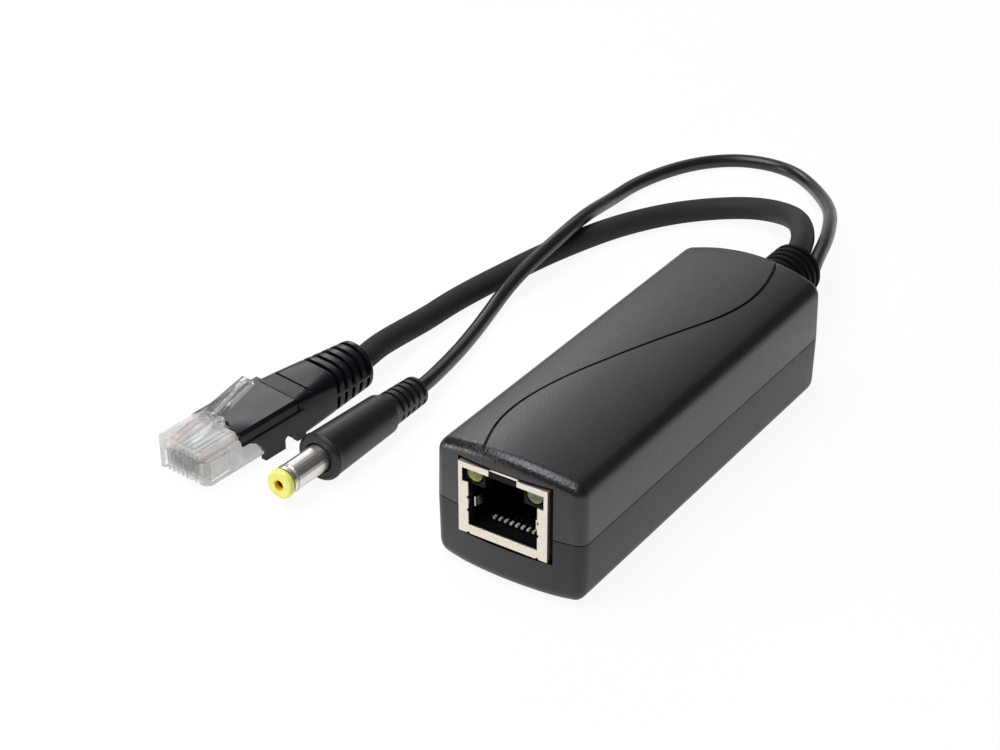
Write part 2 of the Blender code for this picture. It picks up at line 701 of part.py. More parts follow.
def build_boot():
    boot = turned("cable_boot", boot_profile(), (0, 0, BOOT_Z), (0, 1, 0), 28)
    return finish(boot, ((0.018, 0.018, 0.019), 0.6), 25.0)


def data_route():
    """Route of the data lead, from the boot to the RJ45 plug's boot (mm)."""
    lie = DATA_CABLE_DIAMETER * 500 + 0.02
    start = BOOT_END * 1000 + SEAT_GAP * 1000
    return [(-1.5, start, 13.2), (-1.6, start + 2.0, 13.2), (-2.9, 61.8, 12.8),
            (-5.3, 67.8, 11.7), (-9.6, 75.4, 9.8), (-14.1, 81.4, 7.5), (-19.6, 86.6, 4.9),
            (-25.1, 88.2, 3.6), (-29.9, 87.2, 2.8), (-35.4, 83.9, lie), (-39.7, 78.9, lie),
            (-43.3, 73.0, lie), (-46.4, 66.3, lie), (-49.2, 57.5, lie), (-51.2, 49.7, lie),
            (-52.8, 41.0, lie), (-54.3, 32.0, lie), (-55.2, 24.1, lie), (-55.1, 19.0, 2.4),
            (-55.14, 13.0, 3.0), (-54.98, 6.9, 3.7), (-54.7, 1.2, 4.3),
            plug_boot_exit(2 * CABLE_END_GAP), plug_boot_exit(CABLE_END_GAP)]


def plug_boot_exit(distance):
    """Point on the plug boot's axis (mm), at a distance past its rear face."""
    height = PLUG_BOOT_FLOOR + PLUG_BOOT_END / 2
    point = plug_boot_matrix() @ Vector((0.0, PLUG_BOOT_LENGTH + distance, height))
    return tuple(1000 * c for c in point)


def power_route():
    """Route of the power lead, over the data lead once, to the DC plug (mm)."""
    lie = POWER_CORD_DIAMETER * 500 + 0.02
    start = BOOT_END * 1000 + SEAT_GAP * 1000
    end = dc_point(DC_BODY_LENGTH + DC_RELIEF_LENGTH + SEAT_GAP)
    near = dc_point(DC_BODY_LENGTH + DC_RELIEF_LENGTH + 0.0025)
    return [(2.5, start, 12.0), (2.4, start + 1.6, 12.0), (0.7, 61.2, 11.9),
            (-0.6, 66.2, 11.5), (-2.6, 72.1, 10.6), (-5.4, 78.9, 9.2), (-8.9, 86.5, 7.3),
            (-13.2, 93.8, 5.3), (-18.2, 100.6, 3.4),
            (-23.0, 106.0, 2.0), (-29.2, 110.5, lie), (-34.7, 111.0, lie), (-39.6, 109.9, lie),
            (-43.7, 107.2, lie), (-47.1, 103.4, lie), (-49.8, 98.5, lie), (-51.8, 92.9, lie),
            (-53.0, 86.5, 1.5), (-52.4, 79.2, 2.3), (-51.3, 72.8, 3.7), (-50.0, 65.6, 5.3),
            (-48.9, 59.2, 6.3), (-48.4, 52.6, 6.2), (-48.6, 47.0, 5.4), (-49.0, 42.0, 4.3),
            (-49.4, 37.4, 2.9), (-49.2, 33.4, 1.8), (-48.1, 28.2, lie), (-46.3, 20.8, lie),
            (-44.5, 13.4, 1.75), (-43.0, 6.8, 2.35), (-41.8, 0.9, 2.95),
            tuple(1000 * c for c in near), tuple(1000 * c for c in end)]


def build_leads():
    data = tube("data_cable", [tuple(c / 1000 for c in p) for p in data_route()],
                DATA_CABLE_DIAMETER, DATA_CABLE_SPACING, 2)
    power = tube("power_cord", [tuple(c / 1000 for c in p) for p in power_route()],
                 POWER_CORD_DIAMETER, POWER_CORD_SPACING, 2)
    finish(data, ((0.03, 0.03, 0.033), 0.5))
    finish(power, ((0.03, 0.03, 0.033), 0.4))


def plug_matrix():
    return Matrix.Translation(PLUG_ORIGIN) @ Matrix.Rotation(math.radians(PLUG_TURN), 4, "Z")


def plug_boot_matrix():
    return (Matrix.Translation(PLUG_BOOT_ORIGIN)
            @ Matrix.Rotation(math.radians(PLUG_BOOT_TURN), 4, "Z"))


def set_down(obj, matrix, cutters=()):
    """Put a piece, and what cuts it, where the plug lies."""
    for item in (obj, *cutters):
        item.matrix_world = matrix


def plug_section(half, shoulder, top, step, inset):
    """Section of the plug: full width at its foot, stepped in above its shoulder."""
    right = [(half, 0.0), (half, shoulder), (half - step, shoulder + 0.0002), (half - inset, top)]
    return right + [(-x, z) for x, z in reversed(right)]


def skirt_edge(clearance):
    """Lower edge of the boot's skirt (y, z), from its ledge down to the toe of its leg."""
    points = []
    for (y, z), (back, down) in zip(SKIRT_EDGE, SKIRT_EDGE_LEAN):
        points.append((y - clearance * back, z - clearance * down))
    return points


def build_plug():
    """Clear RJ45 plug: nose with eight slots, core in the boot, cheeks and a sprung latch."""
    half = PLUG_WIDTH / 2
    nose = plug_section(half, PLUG_SHOULDER, PLUG_HEIGHT, PLUG_STEP, PLUG_TOP_INSET)
    body = prism("plug_body", nose, 0.0, HOOD_START - SEAT_GAP, "Y")
    pieces = []
    for name, side in (("plug_chamfer_left", -1), ("plug_chamfer_right", 1)):
        corner = side * (half - PLUG_CHAMFER)
        out, deep = side * (half + OVERCUT), PLUG_CHAMFER * (1 + OVERCUT / PLUG_CHAMFER)
        chamfer = prism(name, [(corner, 0.0), (corner, -OVERCUT), (out, -OVERCUT), (out, deep)],
                        -OVERCUT, PLUG_HEIGHT + OVERCUT, "Z", True)
        pieces.append((chamfer, "DIFFERENCE"))
    core = box("plug_core", (-PLUG_CORE_WIDTH / 2, HOOD_START - OVERCUT, 0.0),
               (PLUG_CORE_WIDTH / 2, PLUG_LENGTH, PLUG_CORE_HEIGHT), True)
    pieces.append((core, "UNION"))
    edge = skirt_edge(SEAT_GAP)
    cheek = [(HOOD_START - OVERCUT, 0.0), (edge[-1][0], 0.0)] + edge[::-1]
    cheek.append((HOOD_START - OVERCUT, edge[0][1]))
    pieces.append((prism("plug_cheeks", cheek, -half, half, "X", True), "UNION"))

    # The latch root climbs from the nose, and the sprung tab rises rearwards from it
    for name, side_view, width in (("latch_root", LATCH_ROOT, LATCH_WIDTH),
                                   ("latch_tab", LATCH_TAB, TAB_WIDTH)):
        lever = prism(name, [(y, PLUG_HEIGHT + z) for y, z in side_view], -width / 2, width / 2,
                      "X", True)
        pieces.append((lever, "UNION"))
    for number in range(CONTACT_COUNT):
        x = (number - (CONTACT_COUNT - 1) / 2) * CONTACT_PITCH
        slot = box("plug_slot_%d" % (number + 1), (x - PLUG_SLOT / 2, -OVERCUT, -OVERCUT),
                   (x + PLUG_SLOT / 2, PLUG_SLOT_LENGTH, PLUG_SLOT_HEIGHT), True)
        pieces.append((slot, "DIFFERENCE"))
    for piece, operation in pieces:
        boolean(body, piece, operation)
    set_down(body, plug_matrix(), [piece for piece, _ in pieces])
    finish(body, ((0.86, 0.88, 0.90), 0.12))
    body.data.materials[0].node_tree.nodes["Principled BSDF"].inputs[
        "Transmission Weight"].default_value = 0.9
    for number in range(CONTACT_COUNT):
        x = (number - (CONTACT_COUNT - 1) / 2) * CONTACT_PITCH
        blade = box("plug_contact_%d" % (number + 1),
                    (x - PLUG_CONTACT_THICKNESS / 2, PLUG_CONTACT_START, PLUG_CONTACT_LOW),
                    (x + PLUG_CONTACT_THICKNESS / 2, PLUG_SLOT_LENGTH - SEAT_GAP,
                     PLUG_SLOT_HEIGHT - SEAT_GAP))
        set_down(blade, plug_matrix())
        finish(blade, ((0.85, 0.68, 0.32), 0.25, 1.0))


def relief_half(width, height, squareness, upper, sides=14):
    """Upper or lower half of a relief's section, from its right side to its left."""
    points = []
    for i in range(sides + 1):
        a = math.pi * i / sides
        c, s = math.cos(a), math.sin(a)
        z = height / 2 * abs(s) ** squareness
        points.append((width / 2 * math.copysign(abs(c) ** squareness, c), z if upper else -z))
    return points


def relief_section(along):
    """Width, height, middle and squareness of the boot, at a share of its length."""
    width = PLUG_BOOT_WIDTH + (PLUG_BOOT_END - PLUG_BOOT_WIDTH) * along
    height = PLUG_BOOT_HEIGHT + (PLUG_BOOT_END - PLUG_BOOT_HEIGHT) * along
    return width, height, PLUG_BOOT_FLOOR + height / 2, 0.16 + 0.84 * along ** 1.2


def relief_ring(y, inset=0.0):
    width, height, middle, squareness = relief_section(y / PLUG_BOOT_LENGTH)
    width, height = width - 2 * inset, height - 2 * inset
    outline = relief_half(width, height, squareness, True)
    outline += relief_half(width, height, squareness, False)[::-1][1:-1]
    return [(x, y, middle + z) for x, z in outline]


def tapered(name, rings):
    """Loft between sections with as many points each, and flat ends."""
    bm = bmesh.new()
    rows = [[bm.verts.new(p) for p in points] for points in rings]
    for low, high in zip(rows, rows[1:]):
        for i in range(len(low)):
            j = (i + 1) % len(low)
            bm.faces.new((low[i], low[j], high[j], high[i]))
    bm.faces.new(rows[0])
    bm.faces.new(rows[-1])
    return to_object(name, bm)


def groove_slabs(name, halves, middle, reach, low, high):
    """Two half slabs round a core; the bands between them stay as the moulding's parting."""
    slabs = []
    for label, side, half in zip(("upper", "lower"), (1, -1), halves):
        edge = middle + side * PARTING_BAND / 2
        core = [(x, max(side * z, PARTING_BAND / 2) * side + middle) for x, z in half]
        outline = [(reach, edge), (reach, middle + side * reach),
                   (-reach, middle + side * reach), (-reach, edge)]
        outline += core[::-1]
        slabs.append(prism("%s_%s" % (name, label), outline, low, high, "Y", True))
    return slabs


def build_hood():
    """Hood over the plug's core, notched for the latch, and the skirts down its sides."""
    floor = PLUG_BOOT_FLOOR - PLUG_LIFT
    front = HOOD_START - OVERCUT
    half, skirt = HOOD_WIDTH / 2, SKIRT_WIDTH / 2
    right = [(skirt, floor), (skirt, SKIRT_LEDGE), (half, SKIRT_LEDGE + SKIRT_LEDGE_STEP),
             (half, HOOD_TOP - HOOD_CHAMFER), (half - HOOD_CHAMFER, HOOD_TOP)]
    hood = prism("boot_hood", right + [(-x, z) for x, z in reversed(right)], HOOD_START, HOOD_END,
                 "Y", True)
    core_half = PLUG_CORE_WIDTH / 2 + SEAT_GAP
    inside = box("hood_inside", (-core_half, front, floor - OVERCUT),
                 (core_half, PLUG_LENGTH + SEAT_GAP, PLUG_CORE_HEIGHT + SEAT_GAP), True)
    wide = TAB_NOTCH_WIDTH / 2
    mouth = [(wide, front), (wide, HOOD_START + TAB_NOTCH_STRAIGHT),
             (wide - TAB_NOTCH_TAPER, TAB_NOTCH_END)]
    notch = prism("tab_notch", mouth + [(-x, y) for x, y in reversed(mouth)], PLUG_CORE_HEIGHT,
                  HOOD_TOP + OVERCUT, "Z", True)
    edge = skirt_edge(0.0)
    under = [(front, floor - OVERCUT), (front, edge[0][1])] + edge
    under.append((edge[-1][0], floor - OVERCUT))
    skirt_front = prism("skirt_front", under, -skirt - OVERCUT, skirt + OVERCUT, "X", True)
    arch = [(SKIRT_ARCH[0][0], floor - OVERCUT), *SKIRT_ARCH, (SKIRT_ARCH[-1][0], floor - OVERCUT)]
    skirt_arch = prism("skirt_arch", arch, -skirt - OVERCUT, skirt + OVERCUT, "X", True)
    cutters = [inside, notch, skirt_front, skirt_arch]
    for cutter in cutters:
        boolean(hood, cutter)
    set_down(hood, plug_matrix(), cutters)
    return hood


def build_plug_boot():
    """Moulded boot: hood and skirts on the plug, a block and a relief with five grooves."""
    count = 7
    rings = [relief_ring(0.0), relief_ring(PLUG_BOOT_BLOCK / 2)]
    run = PLUG_BOOT_LENGTH - PLUG_BOOT_END_ROUND - PLUG_BOOT_BLOCK
    rings += [relief_ring(PLUG_BOOT_BLOCK + run * i / count) for i in range(count + 1)]
    rings.append(relief_ring(PLUG_BOOT_LENGTH, PLUG_BOOT_END_ROUND))
    boot = tapered("plug_boot", rings)
    set_down(boot, plug_boot_matrix())
    boolean(boot, build_hood(), "UNION")

    # The block is a hair lower behind its step, and the relief is grooved above and below
    reach = PLUG_BOOT_WIDTH
    level = PLUG_BOOT_FLOOR + PLUG_BOOT_HEIGHT - PLUG_BOOT_STEP_DEPTH
    step = box("block_step", (-reach, PLUG_BOOT_STEP, level),
               (reach, PLUG_BOOT_STEP + PLUG_BOOT_GROOVE / 2, level + OVERCUT), True)
    cutters = [step]
    pitch = (PLUG_BOOT_LENGTH - PLUG_BOOT_BLOCK) / (PLUG_BOOT_GROOVES + 0.3)
    for number in range(PLUG_BOOT_GROOVES):
        y = PLUG_BOOT_BLOCK + pitch * (number + 0.35)
        width, height, middle, squareness = relief_section(y / PLUG_BOOT_LENGTH)
        width -= 2 * PLUG_BOOT_GROOVE_DEPTH
        height -= 2 * PLUG_BOOT_GROOVE_DEPTH
        halves = [relief_half(width, height, squareness, upper) for upper in (True, False)]
        cutters += groove_slabs("relief_groove_%d" % (number + 1), halves, middle, reach,
                                y - PLUG_BOOT_GROOVE / 2, y + PLUG_BOOT_GROOVE / 2)
    for cutter in cutters:
        set_down(cutter, plug_boot_matrix())
        boolean(boot, cutter)
    return finish(boot, ((0.022, 0.022, 0.024), 0.5), 30.0)


def dc_direction():
    """The DC plug lies on its tapered side, so its axis dips to the rear."""
    drop = (DC_BODY_DIAMETER - DC_SHOULDER_DIAMETER) / 2 / DC_BODY_LENGTH
    return Vector((0.0, 1.0, -drop)).normalized()


def dc_point(distance):
    return Vector(DC_FRONT) + dc_direction() * distance


def build_dc_plug():
    """Coaxial DC plug: barrel, insulating ring, inner contact and grooved overmould."""
    front, axis = dc_point(0.0), dc_direction()
    body_r, shoulder = DC_BODY_DIAMETER / 2, DC_SHOULDER_DIAMETER / 2
    relief, neck = DC_RELIEF_DIAMETER / 2, shoulder - DC_NECK_STEP
    end = DC_BODY_LENGTH + DC_RELIEF_LENGTH
    hole = BARREL_DIAMETER / 2 + SEAT_GAP
    profile = [(0.0, end), (relief - DC_EDGE_ROUND, end), (relief, end - DC_EDGE_ROUND),
               (neck, DC_BODY_LENGTH), (shoulder, DC_BODY_LENGTH - DC_SHOULDER_ROUND),
               (body_r - DC_RIM_STEP, DC_RIM), (body_r, DC_RIM - DC_RIM_STEP),
               (body_r, DC_EDGE_ROUND), (body_r - DC_EDGE_ROUND, 0.0), (hole, 0.0),
               (hole, BARREL_SEAT), (0.0, BARREL_SEAT)]
    body = turned("dc_plug_body", profile, front, axis, 28)

    # Five grooves above and below; the band between them follows the parting
    pitch = DC_RELIEF_LENGTH / (DC_RELIEF_GROOVES + 0.7)
    turn = Vector((0.0, 1.0, 0.0)).rotation_difference(axis).to_matrix().to_4x4()
    for number in range(DC_RELIEF_GROOVES):
        centre = end - pitch * (number + 0.9)
        across = 2 * (relief + (neck - relief) * (end - centre) / DC_RELIEF_LENGTH
                      - DC_RELIEF_GROOVE_DEPTH)
        halves = [relief_half(across, across, 1.0, upper) for upper in (True, False)]
        for slab in groove_slabs("dc_groove_%d" % (number + 1), halves, 0.0, DC_BODY_DIAMETER,
                                 centre - DC_RELIEF_GROOVE / 2, centre + DC_RELIEF_GROOVE / 2):
            set_down(slab, Matrix.Translation(front) @ turn)
            boolean(body, slab)
    finish(body, ((0.022, 0.022, 0.024), 0.5), 30.0)

    # The barrel ends in a bead, a black-filled groove and a nose against the ring
    outer, bore = BARREL_DIAMETER / 2, BARREL_BORE / 2
    tip, seat = -BARREL_LENGTH, BARREL_SEAT - SEAT_GAP
    groove = tip + BARREL_NOSE
    bead = groove + BARREL_GROOVE
    barrel = turned("dc_barrel", [(bore, seat), (outer, seat), (outer, bead + BARREL_BEAD),
                                  (outer + BARREL_BEAD_HEIGHT, bead + BARREL_BEAD / 2),
                                  (outer, bead), (outer - BARREL_GROOVE_DEPTH, bead),
                                  (outer - BARREL_GROOVE_DEPTH, groove), (outer, groove),
                                  (outer, tip), (bore, tip), (bore, seat)], front, axis, 28)
    finish(barrel, ((0.80, 0.77, 0.72), 0.22, 1.0))

    ring_r, pin = RING_DIAMETER / 2, PIN_BORE / 2
    wide, inner = pin + INNER_CONTACT_SPACE, bore - SEAT_GAP
    root, ring_end = seat - OVERCUT, tip - SEAT_GAP
    face, lip = ring_end - RING_LENGTH, ring_end - SEAT_GAP
    insulator = turned("dc_insulator", [(wide, root), (inner, root), (inner, ring_end),
                                        (ring_r - RING_ROUND / 2, ring_end),
                                        (ring_r, ring_end - RING_ROUND / 2),
                                        (ring_r, face + RING_ROUND),
                                        (ring_r - 0.3 * RING_ROUND, face + 0.3 * RING_ROUND),
                                        (ring_r - RING_ROUND, face), (pin, face), (pin, lip),
                                        (wide, lip), (wide, root)], front, axis, 28)
    finish(insulator, ((0.85, 0.88, 0.12), 0.4))
    sleeve = turned("dc_inner_contact", [(pin, root), (wide - SEAT_GAP, root),
                                         (wide - SEAT_GAP, lip + SEAT_GAP),
                                         (pin, lip + SEAT_GAP), (pin, root)], front, axis, 24)
    finish(sleeve, ((0.85, 0.62, 0.25), 0.3, 1.0))


def build_components():
    """Parts on the board: isolation and conversion, from the jack to the boot."""
    seat = BOARD_TOP + SEAT_GAP
    front = JACK_FRONT + JACK_DEPTH
    for name, (x, behind), (width, length, height), colour in CHIPS:
        y = front + behind
        chip = box(name, (x - width / 2, y - length / 2, seat),
                   (x + width / 2, y + length / 2, seat + height))
        finish(bevel(chip, CHIP_EDGE, 1), (colour, 0.5))

    # Power transformer: ferrite frame with the wound bobbin in its window
    y, half, reach = front + TRANSFORMER_PLACE, TRANSFORMER_WIDTH / 2, TRANSFORMER_LENGTH / 2
    low, high = seat + TRANSFORMER_YOKE, seat + TRANSFORMER_HEIGHT - TRANSFORMER_YOKE
    window = half - TRANSFORMER_LIMB
    core = box("power_transformer_core", (-half, y - reach, seat),
               (half, y + reach, seat + TRANSFORMER_HEIGHT))
    boolean(core, box("core_window", (-window, y - reach - OVERCUT, low),
                      (window, y + reach + OVERCUT, high), True))
    finish(core, ((0.03, 0.03, 0.03), 0.6))
    wound, reach = window - SEAT_GAP, reach + WINDING_OVERHANG
    winding = box("power_transformer_winding", (-wound, y - reach, low + SEAT_GAP),
                  (wound, y + reach, high - SEAT_GAP))
    finish(bevel(winding, WINDING_EDGE, 3), ((0.75, 0.55, 0.12), 0.45))

    for name, (x, behind), radius, height in CANS:
        profile = [(0.0, height), (radius - CAN_ROUND, height), (radius, height - CAN_ROUND),
                   (radius, CAN_CRIMP_HEIGHT + CAN_CRIMP), (radius - CAN_CRIMP, CAN_CRIMP_HEIGHT),
                   (radius, CAN_CRIMP_HEIGHT - CAN_CRIMP), (radius, 0.0), (0.0, 0.0)]
        can = turned(name, profile, (x, front + behind, seat), (0, 0, 1), 20)
        finish(can, ((0.03, 0.04, 0.09), 0.3))


clear_scene()
PARTS, CUTTERS = make_collections()
build_upper_shell()
build_lower_shell()
build_board()
build_jack_shield()
build_jack_insert()
build_jack_contacts()
build_ground_springs()
build_boot()
build_leads()
build_plug()
build_plug_boot()
build_dc_plug()
build_components()
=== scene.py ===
"""Looks of the power-over-Ethernet splitter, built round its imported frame."""
import math

import bmesh
import bpy
from mathutils import Matrix, Vector


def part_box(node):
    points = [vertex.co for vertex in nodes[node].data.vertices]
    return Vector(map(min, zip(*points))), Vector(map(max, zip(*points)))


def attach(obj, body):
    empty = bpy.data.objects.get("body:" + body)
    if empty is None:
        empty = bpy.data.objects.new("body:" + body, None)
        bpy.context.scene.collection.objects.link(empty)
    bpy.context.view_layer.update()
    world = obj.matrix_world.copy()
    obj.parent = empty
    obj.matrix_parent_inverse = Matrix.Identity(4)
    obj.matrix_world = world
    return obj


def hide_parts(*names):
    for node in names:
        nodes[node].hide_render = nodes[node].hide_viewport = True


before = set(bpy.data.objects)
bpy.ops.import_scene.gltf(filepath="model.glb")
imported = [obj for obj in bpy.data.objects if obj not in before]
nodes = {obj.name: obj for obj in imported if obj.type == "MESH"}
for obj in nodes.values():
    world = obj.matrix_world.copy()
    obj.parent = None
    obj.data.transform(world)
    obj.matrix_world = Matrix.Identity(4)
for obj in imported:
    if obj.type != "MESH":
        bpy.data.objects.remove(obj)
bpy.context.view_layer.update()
scene = bpy.context.scene


# Camera
# The picture is a close product shot, taken from the jack end and from above.
# Its lens is long, so the housing's edges run almost parallel.
CAMERA_PLACE = (0.159654, -0.276522, 0.209998)
CAMERA_RIGHT = Vector((0.829591, 0.558368, -0.001901))
CAMERA_UP = Vector((-0.286826, 0.429066, 0.856524))
CAMERA_LENS = 83.315
CAMERA_NEAR = 0.01
SENSOR_WIDTH = 36.0

camera_data = bpy.data.cameras.new("camera")
camera_data.sensor_width = SENSOR_WIDTH
camera_data.lens = CAMERA_LENS
camera_data.clip_start = CAMERA_NEAR
camera = bpy.data.objects.new("camera", camera_data)
camera_axes = Matrix((CAMERA_RIGHT, CAMERA_UP, CAMERA_RIGHT.cross(CAMERA_UP))).transposed()
camera.matrix_world = Matrix.Translation(CAMERA_PLACE) @ camera_axes.to_4x4()
scene.collection.objects.link(camera)
scene.camera = camera


# Leads
# Both leads leave the boot side by side and turn back along the housing.  The data
# lead is a round 4.4 mm jacket, and the power lead is a glossier 2.7 mm one that
# crosses over it once, and each ends just inside the moulding of its plug.
MM = 0.001
BOOT_REAR = 55.0
LEAD_GAP = 0.3
LEAD_LIFT = 0.02
LEAD_SPACING = 0.0009
LEAD_ROUNDNESS = 7
SPLINE_STEPS = 24
EASING_TURNS = 16
DATA_LEAD_DIAMETER = 4.4
DATA_BLACK = (0.021, 0.021, 0.024)
POWER_LEAD_DIAMETER = 2.7
POWER_BLACK = (0.011, 0.011, 0.013)
BLOOM_SIZE = 0.006
JACKET_GRAIN = 0.00018
JACKET_GRAIN_DEPTH = 0.000003
DATA_LIE = DATA_LEAD_DIAMETER / 2 + LEAD_LIFT
POWER_LIE = POWER_LEAD_DIAMETER / 2 + LEAD_LIFT
LEAD_START = BOOT_REAR + LEAD_GAP
DATA_ROUTE = [
    (-1.5, LEAD_START, 13.2), (-1.6, LEAD_START + 2.0, 13.2), (-2.9, 61.8, 12.8),
    (-5.3, 67.8, 11.7), (-9.6, 75.4, 9.8), (-14.1, 81.4, 7.5), (-19.6, 86.6, 4.9),
    (-25.1, 88.2, 3.6), (-29.9, 87.2, 2.8), (-35.4, 83.9, DATA_LIE), (-39.7, 78.9, DATA_LIE),
    (-43.3, 73.0, DATA_LIE), (-46.4, 66.3, DATA_LIE), (-49.2, 57.5, DATA_LIE),
    (-51.2, 49.7, DATA_LIE), (-52.8, 41.0, DATA_LIE), (-54.3, 32.0, DATA_LIE),
    (-55.2, 24.1, DATA_LIE), (-55.1, 19.0, 2.4), (-55.14, 13.0, 3.0), (-54.98, 6.9, 3.7),
    (-54.7, 1.2, 4.3), (-53.588, -2.512, 4.55), (-53.716, -3.402, 4.55),
    (-53.844, -4.292, 4.55), (-53.972, -5.182, 4.55)]
POWER_ROUTE = [
    (2.5, LEAD_START, 12.0), (2.4, LEAD_START + 1.6, 12.0), (0.7, 61.2, 11.9),
    (-0.6, 66.2, 11.5), (-2.6, 72.1, 10.6), (-5.4, 78.9, 9.2), (-8.9, 86.5, 7.3),
    (-13.2, 93.8, 5.3), (-18.2, 100.6, 3.4), (-23.0, 106.0, 2.0), (-29.2, 110.5, POWER_LIE),
    (-34.7, 111.0, POWER_LIE), (-39.6, 109.9, POWER_LIE), (-43.7, 107.2, POWER_LIE),
    (-47.1, 103.4, POWER_LIE), (-49.8, 98.5, POWER_LIE), (-51.8, 92.9, POWER_LIE),
    (-53.0, 86.5, 1.5), (-52.4, 79.2, 2.3), (-51.3, 72.8, 3.7), (-50.0, 65.6, 5.3),
    (-48.9, 59.2, 6.3), (-48.4, 52.6, 6.2), (-48.6, 47.0, 5.4), (-49.0, 42.0, 4.3),
    (-49.4, 37.4, 2.9), (-49.2, 33.4, 1.8), (-48.1, 28.2, POWER_LIE),
    (-46.3, 20.8, POWER_LIE), (-44.5, 13.4, 1.75), (-43.0, 6.8, 2.35), (-41.8, 0.9, 2.95),
    (-41.25, -1.619, 3.237), (-41.25, -3.817, 3.315), (-41.25, -5.016, 3.358)]


class Wire:
    """A value in a finish's nodes; sums on it add Math nodes."""

    def __init__(self, finish, socket):
        self.finish = finish
        self.socket = socket

    def math(self, operation, first, second=0.0):
        return self.finish.add("ShaderNodeMath", {"operation": operation}, {0: first, 1: second})

    def __add__(self, other):
        return self.math("ADD", self, other)

    __radd__ = __add__

    def __sub__(self, other):
        return self.math("SUBTRACT", self, other)

    def __rsub__(self, other):
        return self.math("SUBTRACT", other, self)

    def __mul__(self, other):
        return self.math("MULTIPLY", self, other)

    __rmul__ = __mul__

    def __gt__(self, other):
        return self.math("GREATER_THAN", self, other)

    def __lt__(self, other):
        return self.math("LESS_THAN", self, other)

    def clamped(self, low, high):
        """How far the value is on its way from low to high, from 0 to 1."""
        return self.finish.add("ShaderNodeMapRange", {}, {0: self, 1: low, 2: high})


class Finish:
    """A material on one Principled shader, with nodes added by their type."""

    def __init__(self, name, colour, roughness, metallic=0.0, **constants):
        self.material = bpy.data.materials.new(name)
        self.material.use_nodes = True
        self.tree = self.material.node_tree
        self.shader = self.tree.nodes["Principled BSDF"]
        self.feed({"Base Color": (*colour, 1.0), "Roughness": roughness, "Metallic": metallic})
        self.feed({key.replace("_", " "): value for key, value in constants.items()})
        self.place = self.add("ShaderNodeTexCoord", output="Object")

    def link(self, value, socket):
        """Wire a value to a socket, or set it there as a constant."""
        if isinstance(value, Wire):
            self.tree.links.new(value.socket, socket)
        else:
            socket.default_value = value

    def feed(self, values):
        """Give the shader's own sockets values or wires."""
        for key, value in values.items():
            self.link(value, self.shader.inputs[key])

    def add(self, kind, settings=None, values=None, output=0):
        """Add a node of a type, with its settings first and then its sockets' values."""
        node = self.tree.nodes.new(kind)
        for key, value in (settings or {}).items():
            setattr(node, key, value)
        for key, value in (values or {}).items():
            self.link(value, node.inputs[key])
        return Wire(self, node.outputs[output])

    def noise(self, size, detail=2.0, roughness=0.5):
        """Noise whose lumps are about this many metres across, from 0 to 1."""
        return self.add("ShaderNodeTexNoise", {}, {
            "Vector": self.place, "Scale": 1.0 / size, "Detail": detail, "Roughness": roughness})

    def mix(self, factor, first, second):
        """Colour between two colours, or wires of colour."""
        pair = [c if isinstance(c, Wire) else (*c, 1.0) for c in (first, second)]
        return self.add("ShaderNodeMix", {"data_type": "RGBA"},
                        {"Factor": factor, 6: pair[0], 7: pair[1]}, 2)

    def raise_by(self, height, distance, strength):
        """Bump of a height from 0 to 1, which 1 raises by a distance in metres."""
        return self.add("ShaderNodeBump", {}, {
            "Height": height, "Distance": distance, "Strength": strength})


def smooth_path(route, spacing):
    """Even points along a centripetal spline through a route, in metres."""
    pts = [Vector(p) * MM for p in route]
    pts = [pts[0] * 2 - pts[1]] + pts + [pts[-1] * 2 - pts[-2]]
    fine = []
    for p0, p1, p2, p3 in zip(pts, pts[1:], pts[2:], pts[3:]):
        t1 = (p1 - p0).length ** 0.5
        t2 = t1 + (p2 - p1).length ** 0.5
        t3 = t2 + (p3 - p2).length ** 0.5
        for step in range(SPLINE_STEPS):
            t = t1 + (t2 - t1) * step / SPLINE_STEPS
            a1 = p0.lerp(p1, t / t1)
            a2 = p1.lerp(p2, (t - t1) / (t2 - t1))
            a3 = p2.lerp(p3, (t - t2) / (t3 - t2))
            b1 = a1.lerp(a2, t / t2)
            b2 = a2.lerp(a3, (t - t1) / (t3 - t1))
            fine.append(b1.lerp(b2, (t - t1) / (t2 - t1)))
    fine.append(pts[-2])
    even = [fine[0]]
    for point in fine[1:-1]:
        if (point - even[-1]).length >= spacing:
            even.append(point)
    even.append(fine[-1])
    # Each turn eases every point towards its neighbours, so the jacket shows no corner
    for _ in range(EASING_TURNS):
        even[1:-1] = [(a + 2 * b + c) / 4 for a, b, c in zip(even, even[1:], even[2:])]
    return even


def jacket(name, route, diameter):
    """Round tube along a route, with closed ends."""
    points = smooth_path(route, LEAD_SPACING)
    curve = bpy.data.curves.new(name, "CURVE")
    curve.dimensions = "3D"
    curve.bevel_depth = diameter * MM / 2
    curve.bevel_resolution = LEAD_ROUNDNESS
    curve.use_fill_caps = True
    spline = curve.splines.new("POLY")
    spline.points.add(len(points) - 1)
    for spot, point in zip(spline.points, points):
        spot.co = (*point, 1.0)
    spline.use_smooth = True
    piece = bpy.data.objects.new(name, curve)
    scene.collection.objects.link(piece)
    return piece


def jacket_finish(name, colour, sheen, roughness):
    """Extruded black jacket: nearly smooth, with a dull bloom here and there."""
    finish = Finish(name, colour, roughness, Specular_IOR_Level=sheen)
    bloom = finish.noise(BLOOM_SIZE, 3.0)
    grain = finish.noise(JACKET_GRAIN, 2.0)
    dull = tuple(c * 1.25 for c in colour)
    finish.feed({"Base Color": finish.mix(bloom.clamped(0.45, 0.75), colour, dull),
                 "Roughness": roughness + 0.06 * bloom.clamped(0.4, 0.7) - 0.03 * grain,
                 "Normal": finish.raise_by(grain, JACKET_GRAIN_DEPTH, 0.3)})
    return finish.material


